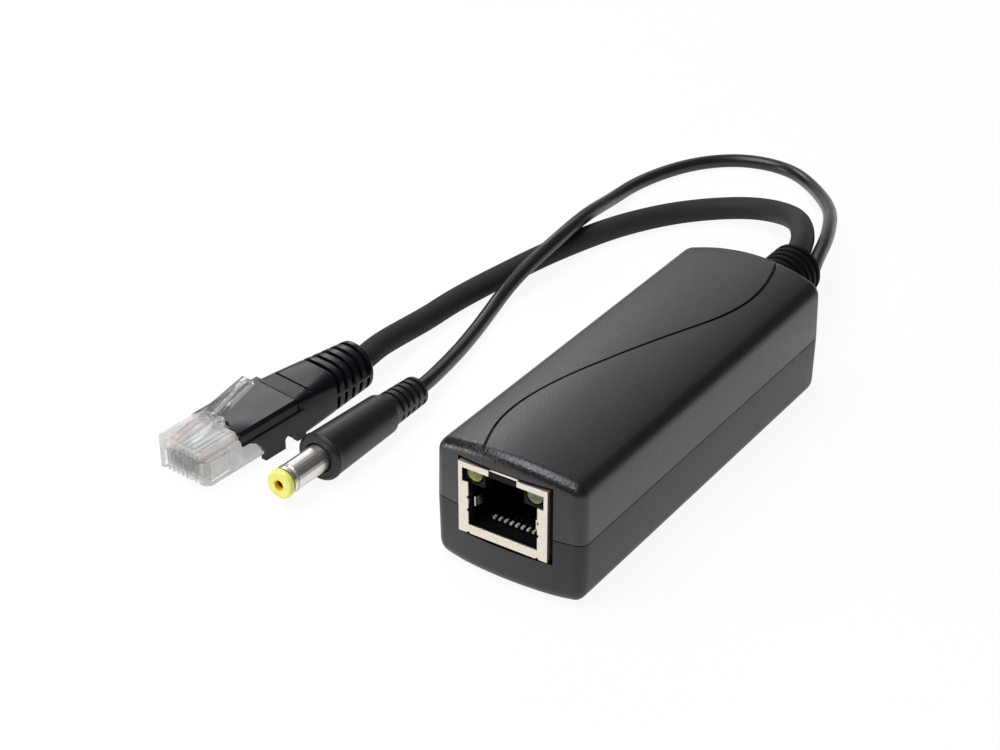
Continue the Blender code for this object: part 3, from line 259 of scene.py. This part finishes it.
data_lead = jacket("data_lead", DATA_ROUTE, DATA_LEAD_DIAMETER)
power_lead = jacket("power_lead", POWER_ROUTE, POWER_LEAD_DIAMETER)
data_lead.data.materials.append(jacket_finish("data_jacket", DATA_BLACK, 0.25, 0.64))
power_lead.data.materials.append(jacket_finish("power_jacket", POWER_BLACK, 0.52, 0.32))
for lead, node in ((data_lead, "data_cable"), (power_lead, "power_cord")):
    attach(lead, "root")
    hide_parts(node)


# Housing
# Two shells moulded in charcoal plastic with a fine spark texture, closed on each
# other at mid height.  The top is crowned, the ends are bowed, and an S-shaped
# groove runs over the top from the jack to the boot.
SHELL_WIDTH = 0.0270
SHELL_LENGTH = 0.0763
SHELL_WALL = 0.0018
SHELL_SHOULDER = 0.02115
PARTING_HEIGHT = 0.0115
PARTING_GAP = 0.00011
TOP_CROWN = 0.0021
END_BOW = 0.0010
CORNER_ROUND = 0.0021
TOP_ROUND = 0.0019
BOTTOM_ROUND = 0.0027
SHELL_DRAFT = 0.0002
BASE_LAND = 0.0130
BASE_RISE = 0.0005
LIP_INSET = 0.0010
LIP_RISE = 0.0010
STRIP = 0.0012
RIM_ROUND = 0.00007
CORNER_FACETS = 10
EDGE_FACETS = 8
RIM_FACETS = 2
SAME_HEIGHT = 1e-6
JACK_CLEARANCE = 0.0005
JACK_GAP_BELOW = 0.0007
JACK_GAP_ABOVE = 0.0004
WINDOW_OUTSIDE = 0.004
WINDOW_INSIDE = 0.001
BOOT_HOLE_RADIUS = 0.0045
BOOT_HOLE_DEPTH = 0.012
BOOT_HOLE_FACETS = 48
BOOT_HEIGHT = 0.0127
SHELL_SMOOTH_ANGLE = 32.0
UPPER_CHARCOAL = (0.0074, 0.0075, 0.0092)
# The lower shell's charcoal is a darker copy of the upper one's: painted shade near the table
PAINTED_SHADE_CHARCOAL = (0.0066, 0.0067, 0.0084)
COOL_SHEEN = (0.95, 0.95, 1.0, 1.0)
PEBBLE_SIZE = 0.00036
GRIT_SIZE = 0.00014
CLOUD_SIZE = 0.012
RUB_SIZE = 0.0018
POLISH_SIZE = 0.00042
DIMPLE_SIZE = 0.00050
END_POLISH = 0.0006
TOP_POLISH = 0.0004
SPARK_DEPTH = 0.00007
SEAM_GROOVE_WIDTH = 0.00064
SEAM_GROOVE_SINK = 0.17
SEAM_GROOVE_ROUNDNESS = 2
SEAM_GROOVE_MERGE = 0.000001
SEAM_GROOVE = ((-3.4, -40.4), (-4.3, -37.6), (-5.9, -34.0), (-7.2, -28.9), (-7.3, -22.5),
               (-5.6, -14.8), (-1.8, -4.2), (2.2, 6.6), (5.5, 15.5), (6.8, 21.9),
               (6.8, 28.4), (5.85, 33.6), (4.6, 37.6), (3.5, 40.4))


def alone(piece):
    """Select one piece alone, as the operators act on all that is selected."""
    if bpy.context.object and bpy.context.object.mode != "OBJECT":
        bpy.ops.object.mode_set(mode="OBJECT")
    bpy.ops.object.select_all(action="DESELECT")
    piece.select_set(True)
    bpy.context.view_layer.objects.active = piece
    return piece


def block(name, low, high):
    """Cube primitive between two corners, with its place in its mesh."""
    bpy.ops.object.select_all(action="DESELECT")
    low, high = Vector(low), Vector(high)
    bpy.ops.mesh.primitive_cube_add(size=1.0, location=(low + high) / 2)
    piece = bpy.context.object
    piece.name = name
    piece.data.name = name
    piece.scale = high - low
    bpy.ops.object.transform_apply(location=True, rotation=True, scale=True)
    return piece


def edit_edges(piece, wanted):
    """Open a piece in edit mode with the edges that a test picks out."""
    alone(piece)
    bpy.ops.object.mode_set(mode="EDIT")
    bpy.ops.mesh.select_mode(type="EDGE")
    bpy.ops.mesh.select_all(action="DESELECT")
    mesh = bmesh.from_edit_mesh(piece.data)
    for edge in mesh.edges:
        if wanted(edge):
            edge.select_set(True)
    bmesh.update_edit_mesh(piece.data)


def done(piece, angle):
    """Close edit mode and shade the piece smooth up to an angle."""
    alone(piece)
    bpy.ops.object.shade_smooth_by_angle(angle=math.radians(angle))
    return piece


def modified(piece, kind, **settings):
    """Add a modifier with its settings and apply it."""
    alone(piece)
    modifier = piece.modifiers.new(kind.lower(), kind)
    for key, value in settings.items():
        setattr(modifier, key, value)
    bpy.ops.object.modifier_apply(modifier=modifier.name)
    return piece


def cut(piece, tool, operation="DIFFERENCE"):
    """Boolean one piece with another, which is used up."""
    modified(piece, "BOOLEAN", operation=operation, object=tool, solver="EXACT")
    bpy.data.objects.remove(tool, do_unlink=True)
    return piece


def upright(edge):
    """Test for edges that stand."""
    run = edge.verts[0].co - edge.verts[1].co
    return abs(run.z) > 0.9 * run.length


def level_with(height):
    """Test for edges that lie at one height."""
    return lambda edge: all(abs(v.co.z - height) < SAME_HEIGHT for v in edge.verts)


def inner_block(name, inset, low, high):
    """Plain block within the shells' plan."""
    half_w, half_l = SHELL_WIDTH / 2 - inset, SHELL_LENGTH / 2 - inset
    return block(name, (-half_w, -half_l, low), (half_w, half_l, high))


def shell(name, rim, outer, edge_round):
    """One shell: a rounded block, cut in strips, then crowned, bellied and bowed."""
    half_w, half_l = SHELL_WIDTH / 2, SHELL_LENGTH / 2
    piece = block(name, (-half_w, -half_l, min(rim, outer)), (half_w, half_l, max(rim, outer)))
    for wanted, offset, facets in ((upright, CORNER_ROUND, CORNER_FACETS),
                                   (level_with(outer), edge_round, EDGE_FACETS),
                                   (level_with(rim), RIM_ROUND, RIM_FACETS)):
        edit_edges(piece, wanted)
        bpy.ops.mesh.bevel(offset=offset, segments=facets)
        bpy.ops.object.mode_set(mode="OBJECT")
    edit_edges(piece, lambda edge: True)
    for count in range(1, int(SHELL_WIDTH / STRIP) + 1):
        bpy.ops.mesh.select_all(action="SELECT")
        bpy.ops.mesh.bisect(plane_co=(-half_w + count * STRIP, 0, 0), plane_no=(1, 0, 0))
    for count in range(1, int(SHELL_LENGTH / (2 * STRIP)) + 1):
        bpy.ops.mesh.select_all(action="SELECT")
        bpy.ops.mesh.bisect(plane_co=(0, -half_l + count * 2 * STRIP, 0), plane_no=(0, 1, 0))
    bpy.ops.object.mode_set(mode="OBJECT")
    reach = half_w - CORNER_ROUND
    run = abs(outer - rim) - edge_round
    for vertex in piece.data.vertices:
        x, y, z = vertex.co
        share = min(1.0, abs(z - rim) / run)
        across = min(1.0, abs(x) / half_w)
        if outer > rim:
            lift = TOP_CROWN * (1 - across ** 2)
        else:
            past_land = max(0.0, abs(x) - BASE_LAND / 2)
            lift = BASE_RISE * (past_land / (half_w - BASE_LAND / 2)) ** 2
        bow = END_BOW * max(0.0, 1 - (x / reach) ** 2)
        vertex.co = (x * (1 - share * SHELL_DRAFT / half_w), y * (1 + bow / half_l),
                     z + share * lift)
    return piece


def seam_tool():
    """Round bar along the S-shaped groove, on the crowned top."""
    route = []
    for x, y in SEAM_GROOVE:
        across = 2 * x * MM / SHELL_WIDTH
        top = SHELL_SHOULDER + TOP_CROWN * (1 - across ** 2)
        route.append((x, y, top / MM - SEAM_GROOVE_SINK))
    bar = jacket("seam_tool", route, SEAM_GROOVE_WIDTH / MM)
    bar.data.bevel_resolution = SEAM_GROOVE_ROUNDNESS
    alone(bar)
    bpy.ops.object.convert(target="MESH")
    bar = bpy.context.object
    bpy.ops.object.mode_set(mode="EDIT")
    bpy.ops.mesh.select_all(action="SELECT")
    bpy.ops.mesh.remove_doubles(threshold=SEAM_GROOVE_MERGE)
    bpy.ops.mesh.normals_make_consistent(inside=False)
    bpy.ops.object.mode_set(mode="OBJECT")
    return bar


def open_ends(piece, jack_low, jack_high):
    """Cut the window round the jack and the hole for the boot's neck."""
    half_l = SHELL_LENGTH / 2
    window_low = (jack_low.x - JACK_CLEARANCE, -half_l - WINDOW_OUTSIDE,
                  jack_low.z - JACK_GAP_BELOW)
    window_high = (jack_high.x + JACK_CLEARANCE, -half_l + SHELL_WALL + WINDOW_INSIDE,
                   jack_high.z + JACK_GAP_ABOVE)
    cut(piece, block("jack_window", window_low, window_high))
    bpy.ops.object.select_all(action="DESELECT")
    bpy.ops.mesh.primitive_cylinder_add(
        vertices=BOOT_HOLE_FACETS, radius=BOOT_HOLE_RADIUS, depth=BOOT_HOLE_DEPTH,
        location=(0, half_l, BOOT_HEIGHT), rotation=(math.pi / 2, 0, 0))
    bpy.ops.object.transform_apply(location=True, rotation=True, scale=True)
    return cut(piece, bpy.context.object)


def shell_finish(name, colour, sheen):
    """Spark-eroded charcoal plastic: fine pebbles, handling marks and worn end corners."""
    finish = Finish(name, colour, 0.42, Specular_IOR_Level=sheen, Specular_Tint=COOL_SHEEN)
    pebbles = finish.add("ShaderNodeTexVoronoi", {"feature": "SMOOTH_F1"},
                         {"Vector": finish.place, "Scale": 1 / PEBBLE_SIZE, "Randomness": 1.0})
    grit = finish.noise(GRIT_SIZE, 2.0)
    clouds = finish.noise(CLOUD_SIZE, 2.0, 0.5)
    rubs = finish.noise(RUB_SIZE, 4.0, 0.7)
    pale = tuple(c * 1.2 for c in colour)
    dark = tuple(c * 0.9 for c in colour)
    body = finish.mix(clouds.clamped(0.35, 0.68), dark, pale)
    along, height = [finish.add("ShaderNodeSeparateXYZ", {}, {0: finish.place}, axis)
                     for axis in (1, 2)]
    ends = along.math("ABSOLUTE", along).clamped(SHELL_LENGTH / 2 - TOP_ROUND,
                                                 SHELL_LENGTH / 2 - END_POLISH)
    corner = ends * height.clamped(SHELL_SHOULDER - TOP_ROUND, SHELL_SHOULDER - TOP_POLISH)
    polished = corner * finish.noise(POLISH_SIZE, 3.0, 0.65).clamped(0.48, 0.60)
    dimples = corner * finish.noise(DIMPLE_SIZE, 2.0, 0.6)
    texture = 0.35 * pebbles + 0.2 * grit + 0.9 * dimples
    worn = 0.05 * rubs.clamped(0.5, 0.8) - 0.15 * polished
    finish.feed({"Base Color": body,
                 "Roughness": 0.35 + 0.04 * clouds + worn,
                 "Normal": finish.raise_by(texture, SPARK_DEPTH, 0.9)})
    return finish.material


jack_low, jack_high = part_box("jack_shield")
upper = shell("housing_upper", PARTING_HEIGHT + PARTING_GAP / 2, SHELL_SHOULDER, TOP_ROUND)
cut(upper, inner_block("upper_hollow", SHELL_WALL, PARTING_HEIGHT - LIP_RISE,
                       SHELL_SHOULDER - SHELL_WALL))
cut(upper, inner_block("rebate", LIP_INSET - PARTING_GAP, PARTING_HEIGHT - LIP_RISE,
                       PARTING_HEIGHT + LIP_RISE + PARTING_GAP))
cut(upper, seam_tool())
lower = shell("housing_lower", PARTING_HEIGHT - PARTING_GAP / 2, 0.0, BOTTOM_ROUND)
cut(lower, inner_block("lip", LIP_INSET, PARTING_HEIGHT - LIP_RISE, PARTING_HEIGHT + LIP_RISE),
    "UNION")
cut(lower, inner_block("lower_hollow", SHELL_WALL, SHELL_WALL, PARTING_HEIGHT + 2 * LIP_RISE))
# The lower shell gets the darker charcoal and less sheen, as painted shade
for piece, node, colour, sheen in ((upper, "upper_shell", UPPER_CHARCOAL, 0.70),
                                   (lower, "lower_shell", PAINTED_SHADE_CHARCOAL, 0.62)):
    open_ends(piece, jack_low, jack_high)
    done(piece, SHELL_SMOOTH_ANGLE)
    piece.data.materials.clear()
    piece.data.materials.append(shell_finish(piece.name + "_plastic", colour, sheen))
    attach(piece, "root")
    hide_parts(node)


# Modular jack
# A black moulding with eight gold springs sits in a folded shield of nickel-plated
# sheet.  Two clear-tinted lights stand in its upper corners, and a bowed leaf on
# each side of the port earths a shielded plug.
SHEET_ROUND = 0.00007
SHEET_BEND_ANGLE = 40.0
SOLID_MERGE = 0.000002
SOLID_FLAT_ANGLE = 0.4
ROUND_FACETS = 2
CONTACT_COUNT = 8
CONTACT_TIP = -0.0356
# The tips' near-white is a painted highlight, and the dark gold further in is painted shade
GLINT_PAINTED_GOLD = (1.0, 0.97, 0.90)
SHADE_PAINTED_GOLD = (0.03, 0.025, 0.015)
SPRING_GOLD = (0.86, 0.68, 0.34)
GILT_GRAIN = 0.0001
GILT_GRAIN_DEPTH = 0.000003
PLATING_GRAIN = 0.00012
PLATING_GRAIN_DEPTH = 0.000004
PIT_SIZE = 0.00035
PIT_TINT = (0.88, 0.85, 0.80)
SHIELD_NICKEL = (0.84, 0.775, 0.69)
LEAF_NICKEL = (0.72, 0.70, 0.68)
INSERT_BLACK = (0.005, 0.005, 0.006)
LENS_CLOUD = 0.0011
LENSES = (("led_amber", (0.16, 0.17, 0.010), (0.40, 0.37, 0.05)),
          ("led_green", (0.060, 0.12, 0.030), (0.18, 0.27, 0.10)))


def dressed(name, node, width, angle, weighted=True):
    """Copy of a CAD solid, merged and with its edges rounded, that replaces its node."""
    piece = bpy.data.objects.new(name, nodes[node].data.copy())
    scene.collection.objects.link(piece)
    alone(piece)
    bpy.ops.object.mode_set(mode="EDIT")
    bpy.ops.mesh.select_all(action="SELECT")
    bpy.ops.mesh.remove_doubles(threshold=SOLID_MERGE)
    bpy.ops.mesh.dissolve_limited(angle_limit=math.radians(SOLID_FLAT_ANGLE))
    bpy.ops.object.mode_set(mode="OBJECT")
    modified(piece, "BEVEL", width=width, segments=ROUND_FACETS, limit_method="ANGLE",
             angle_limit=math.radians(angle), miter_outer="MITER_ARC")
    piece.data.materials.clear()
    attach(piece, "root")
    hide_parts(node)
    done(piece, angle)
    if weighted:
        modified(piece, "WEIGHTED_NORMAL", weight=100, keep_sharp=True)
    return piece


def grained(name, colour, roughness, metallic=0.0, size=0.0002, depth=0.00001, vary=0.12,
            **constants):
    """Finish with a fine grain and slow patches of lighter and duller surface."""
    finish = Finish(name, colour, roughness, metallic, **constants)
    grain = finish.noise(size, 3.0)
    patches = finish.noise(size * 14, 3.0)
    pale = tuple(min(1.0, c * (1 + vary)) for c in colour)
    dark = tuple(c * (1 - vary) for c in colour)
    finish.feed({"Base Color": finish.mix(patches.clamped(0.38, 0.62), dark, pale),
                 "Roughness": roughness + 0.10 * (patches - 0.5),
                 "Normal": finish.raise_by(grain, depth, 0.6)})
    return finish


def coat(node, finish):
    """Give a CAD node that stays its finish."""
    for spot in nodes[node].material_slots:
        spot.material = finish.material


def nickel(name, colour, roughness):
    """Tin-bright plating with a sandy bloom and fine pits."""
    finish = grained(name, colour, roughness, metallic=1.0, size=PLATING_GRAIN,
                     depth=PLATING_GRAIN_DEPTH, vary=0.03)
    pits = finish.noise(PIT_SIZE, 4.0, 0.7).clamped(0.50, 0.66)
    dull = tuple(c * share for c, share in zip(colour, PIT_TINT))
    finish.feed({"Base Color": finish.mix(pits, colour, dull),
                 "Roughness": roughness + 0.08 * pits})
    return finish


jack_shell = dressed("jack_shell", "jack_shield", SHEET_ROUND, SHEET_BEND_ANGLE)
jack_shell.data.materials.append(nickel("shield_nickel", SHIELD_NICKEL, 0.36).material)
coat("jack_insert", grained("jack_moulding", INSERT_BLACK, 0.38, size=0.0003,
                            Specular_IOR_Level=0.12))
for side in ("left", "right"):
    coat("ground_spring_" + side, nickel("spring_nickel_" + side, LEAF_NICKEL, 0.25))
for node, lens, glow_tint in LENSES:
    finish = Finish(node + "_lens", lens, 0.22, Coat_Weight=0.4, Transmission_Weight=0.25)
    cloud = finish.noise(LENS_CLOUD, 2.0)
    finish.feed({"Base Color": finish.mix(cloud.clamped(0.4, 0.6), lens, glow_tint),
                 "Roughness": 0.20 + 0.12 * cloud})
    coat(node, finish)
# Painted highlight and painted shade: the tips are painted near white so that they glint, and
# further in the springs are painted dark, where the shield shades them
spring_gold = grained("spring_gold", SPRING_GOLD, 0.28, metallic=1.0, size=GILT_GRAIN,
                      depth=GILT_GRAIN_DEPTH)
painted_shade_far_in = spring_gold.add("ShaderNodeSeparateXYZ", {}, {0: spring_gold.place}, 1) > CONTACT_TIP
spring_gold.feed({"Base Color": spring_gold.mix(painted_shade_far_in, GLINT_PAINTED_GOLD, SHADE_PAINTED_GOLD),
                  "Metallic": 0.3 + 0.7 * painted_shade_far_in,
                  "Roughness": 0.25 + 0.3 * painted_shade_far_in})
for number in range(1, CONTACT_COUNT + 1):
    coat("jack_contact_%d" % number, spring_gold)


# Cable boot
# A soft black sleeve is moulded over both leads.  Its neck is held in the rear
# wall, and seven ribs outside let it bend.
RIB_ROUND = 0.00012
RIB_EDGE_ANGLE = 25.0
SLEEVE_BLACK = (0.0050, 0.0050, 0.0060)
SLEEVE_GRAIN = 0.00025
SLEEVE_GRAIN_DEPTH = 0.00002

boot_sleeve = dressed("boot_sleeve", "cable_boot", RIB_ROUND, RIB_EDGE_ANGLE)
boot_sleeve.data.materials.append(
    grained("soft_black", SLEEVE_BLACK, 0.55, size=SLEEVE_GRAIN, depth=SLEEVE_GRAIN_DEPTH,
            Specular_IOR_Level=0.12).material)


# Modular plug
# The plug is one clear polycarbonate moulding with a springy latch.  Eight thin
# conductors run into its nose, where eight gilt blades are pressed into them.
PLUG_NOSE = (-0.05909, -0.04481, 0.0015)
PLUG_TURN = -4.9
PLUG_PLACE = (Matrix.Translation(PLUG_NOSE)
              @ Matrix.Rotation(math.radians(PLUG_TURN), 4, "Z"))
PLUG_ROUND = 0.00016
PLUG_EDGE_ANGLE = 35.0
CLEAR_TINT = (0.96, 0.965, 0.97)
CLEAR_COOL = (0.95, 0.96, 0.965)
CLEAR_WARM = (1.0, 1.0, 0.995)
RIPPLE_SIZE = 0.0016
RIPPLE_DEPTH = 0.00006
SCUFF_SIZE = 0.0004
BLADE_GILT = (0.98, 0.93, 0.84)
CONDUCTOR_PITCH = 1.02
CONDUCTOR_DIAMETER = 0.86
CONDUCTOR_ROUNDNESS = 3
CONDUCTOR_HEIGHT = 4.25
CONDUCTOR_RUN = ((1.5, 1.0), (8.0, 1.0), (12.0, 0.92), (19.5, 0.80))
CONDUCTOR_COLOURS = (
    (0.95, 0.88, 0.86), (0.96, 0.70, 0.66), (0.92, 0.94, 0.91), (0.84, 0.85, 0.90),
    (0.92, 0.93, 0.95), (0.83, 0.90, 0.83), (0.95, 0.93, 0.90), (0.86, 0.81, 0.76))

clear_plug = dressed("clear_plug", "plug_body", PLUG_ROUND, PLUG_EDGE_ANGLE, weighted=False)
clear = Finish("clear_polycarbonate", CLEAR_TINT, 0.06, Transmission_Weight=0.88, IOR=1.52,
               Alpha=0.64)
ripple = clear.noise(RIPPLE_SIZE, 2.0)
scuff = clear.noise(SCUFF_SIZE, 4.0, 0.7).clamped(0.6, 0.8)
clear.feed({"Base Color": clear.mix(ripple, CLEAR_COOL, CLEAR_WARM),
            "Roughness": 0.02 + 0.20 * scuff,
            "Normal": clear.raise_by(ripple, RIPPLE_DEPTH, 0.5)})
clear_plug.data.materials.append(clear.material)
for number, colour in enumerate(CONDUCTOR_COLOURS, 1):
    across = (number - (CONTACT_COUNT + 1) / 2) * CONDUCTOR_PITCH
    route = [PLUG_PLACE @ (Vector((across * spread, back, CONDUCTOR_HEIGHT)) * MM) / MM
             for back, spread in CONDUCTOR_RUN]
    conductor = jacket("conductor_%d" % number, route, CONDUCTOR_DIAMETER)
    conductor.data.bevel_resolution = CONDUCTOR_ROUNDNESS
    conductor.data.materials.append(
        grained("conductor_%d_insulation" % number, colour, 0.4, size=0.0003).material)
    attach(conductor, "root")
blade_gilt = grained("blade_gilt", BLADE_GILT, 0.45, metallic=1.0, size=GILT_GRAIN,
                     depth=GILT_GRAIN_DEPTH)
for number in range(1, CONTACT_COUNT + 1):
    coat("plug_contact_%d" % number, blade_gilt)


# Plug boot
# A black moulding slips over the plug's core.  Its hood is notched for the latch, its
# skirts leave a leg on each side, and five interrupted grooves make its end bend.
BOOT_ROUND = 0.00016
BOOT_EDGE_ANGLE = 38.0
BOOT_BLACK = (0.0055, 0.0055, 0.0080)
LEATHER_GRAIN = 0.00022
LEATHER_DEPTH = 0.00002
FLOW_SIZE = 0.003


def satin_black(name, colour, roughness, specular):
    """Moulded black plastic with a faint leathery grain."""
    finish = Finish(name, colour, roughness, Specular_IOR_Level=specular)
    grain = finish.noise(LEATHER_GRAIN, 3.0)
    flow = finish.noise(FLOW_SIZE, 3.0, 0.6)
    pale = tuple(c * 1.4 for c in colour)
    finish.feed({"Base Color": finish.mix(flow.clamped(0.4, 0.7), colour, pale),
                 "Roughness": roughness + 0.12 * (flow - 0.5),
                 "Normal": finish.raise_by(grain, LEATHER_DEPTH, 0.6)})
    return finish.material


hood = dressed("moulded_boot", "plug_boot", BOOT_ROUND, BOOT_EDGE_ANGLE)
hood.data.materials.append(satin_black("boot_black", BOOT_BLACK, 0.32, 0.29))


# DC plug
# A nickel-plated barrel is moulded into a tapered black grip.  A yellow ring closes
# its tip round the bore, and the bronze contact for the jack's pin lies inside.
GRIP_ROUND = 0.00012
GRIP_EDGE_ANGLE = 30.0
GRIP_BLACK = (0.0095, 0.0100, 0.0125)
BARREL_NICKEL = (0.88, 0.85, 0.81)
RING_YELLOW = (0.98, 1.0, 0.24)
RING_DEEP = (0.94, 0.97, 0.20)
RING_PALE = (1.0, 1.0, 0.30)
RING_HAZE = 0.0009
RING_SOAK = (0.0008, 0.0008, 0.0003)
BORE_RADIUS = 0.00102
# Orange painted inside the bore as painted shade in the hole
BORE_PAINTED_SHADE = (1.0, 0.64, 0.03)
CONTACT_BRONZE = (0.90, 0.55, 0.12)

grip = dressed("dc_grip", "dc_plug_body", GRIP_ROUND, GRIP_EDGE_ANGLE)
grip.data.materials.append(satin_black("grip_black", GRIP_BLACK, 0.40, 0.50))
coat("dc_barrel", nickel("barrel_nickel", BARREL_NICKEL, 0.36))
ring = grained("ring_yellow", RING_YELLOW, 0.36, size=0.0003, vary=0.03,
               Subsurface_Weight=0.35, Subsurface_Radius=RING_SOAK)
ring_low, ring_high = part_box("dc_insulator")
ring_centre = (Vector(ring_low) + Vector(ring_high)) / 2
sideways, upwards = [
    ring.add("ShaderNodeSeparateXYZ", {}, {0: ring.place}, axis) - ring_centre[axis]
    for axis in (0, 2)]
# Painted shade: inside the bore the yellow ring is painted a deeper orange
painted_shade_bore = sideways * sideways + upwards * upwards < BORE_RADIUS ** 2
hazy = ring.mix(ring.noise(RING_HAZE, 2.0), RING_DEEP, RING_PALE)
ring.feed({"Base Color": ring.mix(painted_shade_bore, hazy, BORE_PAINTED_SHADE)})
coat("dc_insulator", ring)
coat("dc_inner_contact", grained("contact_bronze", CONTACT_BRONZE, 0.32, metallic=1.0,
                                 size=GILT_GRAIN, depth=GILT_GRAIN_DEPTH))


# Board and its parts
# A green board on the lower shell's posts carries the data transformer, the bridge
# rectifiers and the converter: a ferrite transformer, an inductor and two cans.
MASK_GREEN = (0.015, 0.12, 0.05)
BARE_GREENS = ((0.012, 0.105, 0.042, 1), (0.018, 0.13, 0.055, 1))
TRACK_GREEN = (0.035, 0.20, 0.085, 1)
TRACK_SPACING = 0.0035
EPOXY_BLACK = (0.018, 0.018, 0.019)
POWDER_GREY = (0.045, 0.045, 0.05)
FERRITE_GREY = (0.028, 0.027, 0.028)
TAPE_YELLOW = (0.75, 0.52, 0.10)
TAPE_DARK = (0.62, 0.40, 0.06)
TAPE_PALE = (0.80, 0.58, 0.13)
TAPE_WRAP = 0.0042
CAN_SLEEVE = (0.02, 0.03, 0.08)
CAN_LID = (0.80, 0.80, 0.80)
SLEEVE_TOP = {"input_capacitor": 0.0168, "output_capacitor": 0.0178}

mask = grained("solder_mask", MASK_GREEN, 0.30, size=0.00015, Coat_Weight=0.3)
tracks = mask.add("ShaderNodeTexBrick", {"offset": 0.37, "squash": 1.6}, {
    "Vector": mask.place, "Scale": 1 / TRACK_SPACING, "Color1": BARE_GREENS[0],
    "Color2": BARE_GREENS[1], "Mortar": TRACK_GREEN, "Mortar Size": 0.05})
mask.feed({"Base Color": tracks})
coat("circuit_board", mask)
epoxy = grained("black_epoxy", EPOXY_BLACK, 0.55, size=0.00012, depth=0.00002)
for node in ("data_transformer", "bridge_rectifier_1", "bridge_rectifier_2", "pd_controller",
             "output_diode"):
    coat(node, epoxy)
coat("output_inductor", grained("pressed_powder", POWDER_GREY, 0.65, metallic=0.2,
                                size=0.0002, depth=0.00003))
coat("power_transformer_core", grained("ferrite", FERRITE_GREY, 0.45, size=0.0003))
tape = grained("winding_tape", TAPE_YELLOW, 0.32, size=0.0002, Coat_Weight=0.3)
wraps = tape.add("ShaderNodeTexWave", {"bands_direction": "Z"}, {
    "Vector": tape.place, "Scale": 1 / TAPE_WRAP, "Distortion": 0.6})
tape.feed({"Base Color": tape.mix(wraps, TAPE_DARK, TAPE_PALE)})
coat("power_transformer_winding", tape)
for node, top in SLEEVE_TOP.items():
    can = grained(node + "_can", CAN_SLEEVE, 0.30, size=0.0002)
    lid = can.add("ShaderNodeSeparateXYZ", {}, {0: can.place}, 2) > top
    can.feed({"Base Color": can.mix(lid, CAN_SLEEVE, CAN_LID), "Metallic": lid})
    coat(node, can)


# Studio
# A white table runs on past the picture's edge.  Five soft lamps and a dim room
# light the black plastic, and the table keeps a faint shadow.
FLOOR_SIZE = 3.0
FLOOR_DROP = 0.00004
WHITE = (1.0, 1.0, 1.0)
TABLE_SEEN = 0.92
TABLE_MIRRORED = 0.6
TABLE_SEEN_THROUGH = 0.9
ROOM_LIGHT = 0.08
# Name, place, width, height and power of each lamp, which faces the middle
LAMPS = (("window", (-0.40, 0.60, 0.41), 0.55, 0.36, 0.65),
         ("skylight", (-0.49, 0.45, 0.36), 0.16, 0.11, 0.36),
         ("overhead", (-0.18, -0.06, 0.75), 0.50, 0.50, 3.8),
         ("strip", (-0.06, -0.40, 0.68), 0.75, 0.05, 2.2),
         ("fill", (-0.60, -0.45, 0.14), 0.36, 0.20, 1.3))

bpy.ops.object.select_all(action="DESELECT")
bpy.ops.mesh.primitive_plane_add(size=FLOOR_SIZE, location=(0, 0, -FLOOR_DROP))
floor = bpy.context.object
floor.name = "table_top"
table = Finish("table_white", WHITE, 0.9)
seen = table.add("ShaderNodeLightPath", output="Is Camera Ray")
mirrored = table.add("ShaderNodeLightPath", output="Is Glossy Ray")
seen_through = table.add("ShaderNodeLightPath", output="Is Transmission Ray")
glow = table.add("ShaderNodeEmission", {}, {"Color": (*WHITE, 1.0), "Strength": 1.0})
plain = Wire(table, table.shader.outputs[0])
share = TABLE_SEEN * seen + TABLE_MIRRORED * mirrored + TABLE_SEEN_THROUGH * seen_through
white = table.add("ShaderNodeMixShader", {}, {0: share, 1: plain, 2: glow})
table.tree.links.new(white.socket, table.tree.nodes["Material Output"].inputs["Surface"])
floor.data.materials.append(table.material)

world = bpy.data.worlds.new("studio")
scene.world = world
world.use_nodes = True
room = world.node_tree
for node in list(room.nodes):
    room.nodes.remove(node)
path = room.nodes.new("ShaderNodeLightPath")
bright = room.nodes.new("ShaderNodeBackground")
dim = room.nodes.new("ShaderNodeBackground")
dim.inputs["Strength"].default_value = ROOM_LIGHT
choose = room.nodes.new("ShaderNodeMixShader")
room_output = room.nodes.new("ShaderNodeOutputWorld")
room.links.new(path.outputs["Is Camera Ray"], choose.inputs[0])
room.links.new(dim.outputs[0], choose.inputs[1])
room.links.new(bright.outputs[0], choose.inputs[2])
room.links.new(choose.outputs[0], room_output.inputs[0])
for shade in (bright, dim):
    shade.inputs["Color"].default_value = (*WHITE, 1.0)

for name, place, width, height, power in LAMPS:
    light = bpy.data.lights.new(name, "AREA")
    light.shape = "RECTANGLE"
    light.size, light.size_y = width, height
    light.energy = power
    lamp = bpy.data.objects.new(name, light)
    lamp.location = place
    lamp.rotation_euler = (-Vector(place)).to_track_quat("-Z", "Y").to_euler()
    scene.collection.objects.link(lamp)

scene.view_settings.view_transform = "Standard"
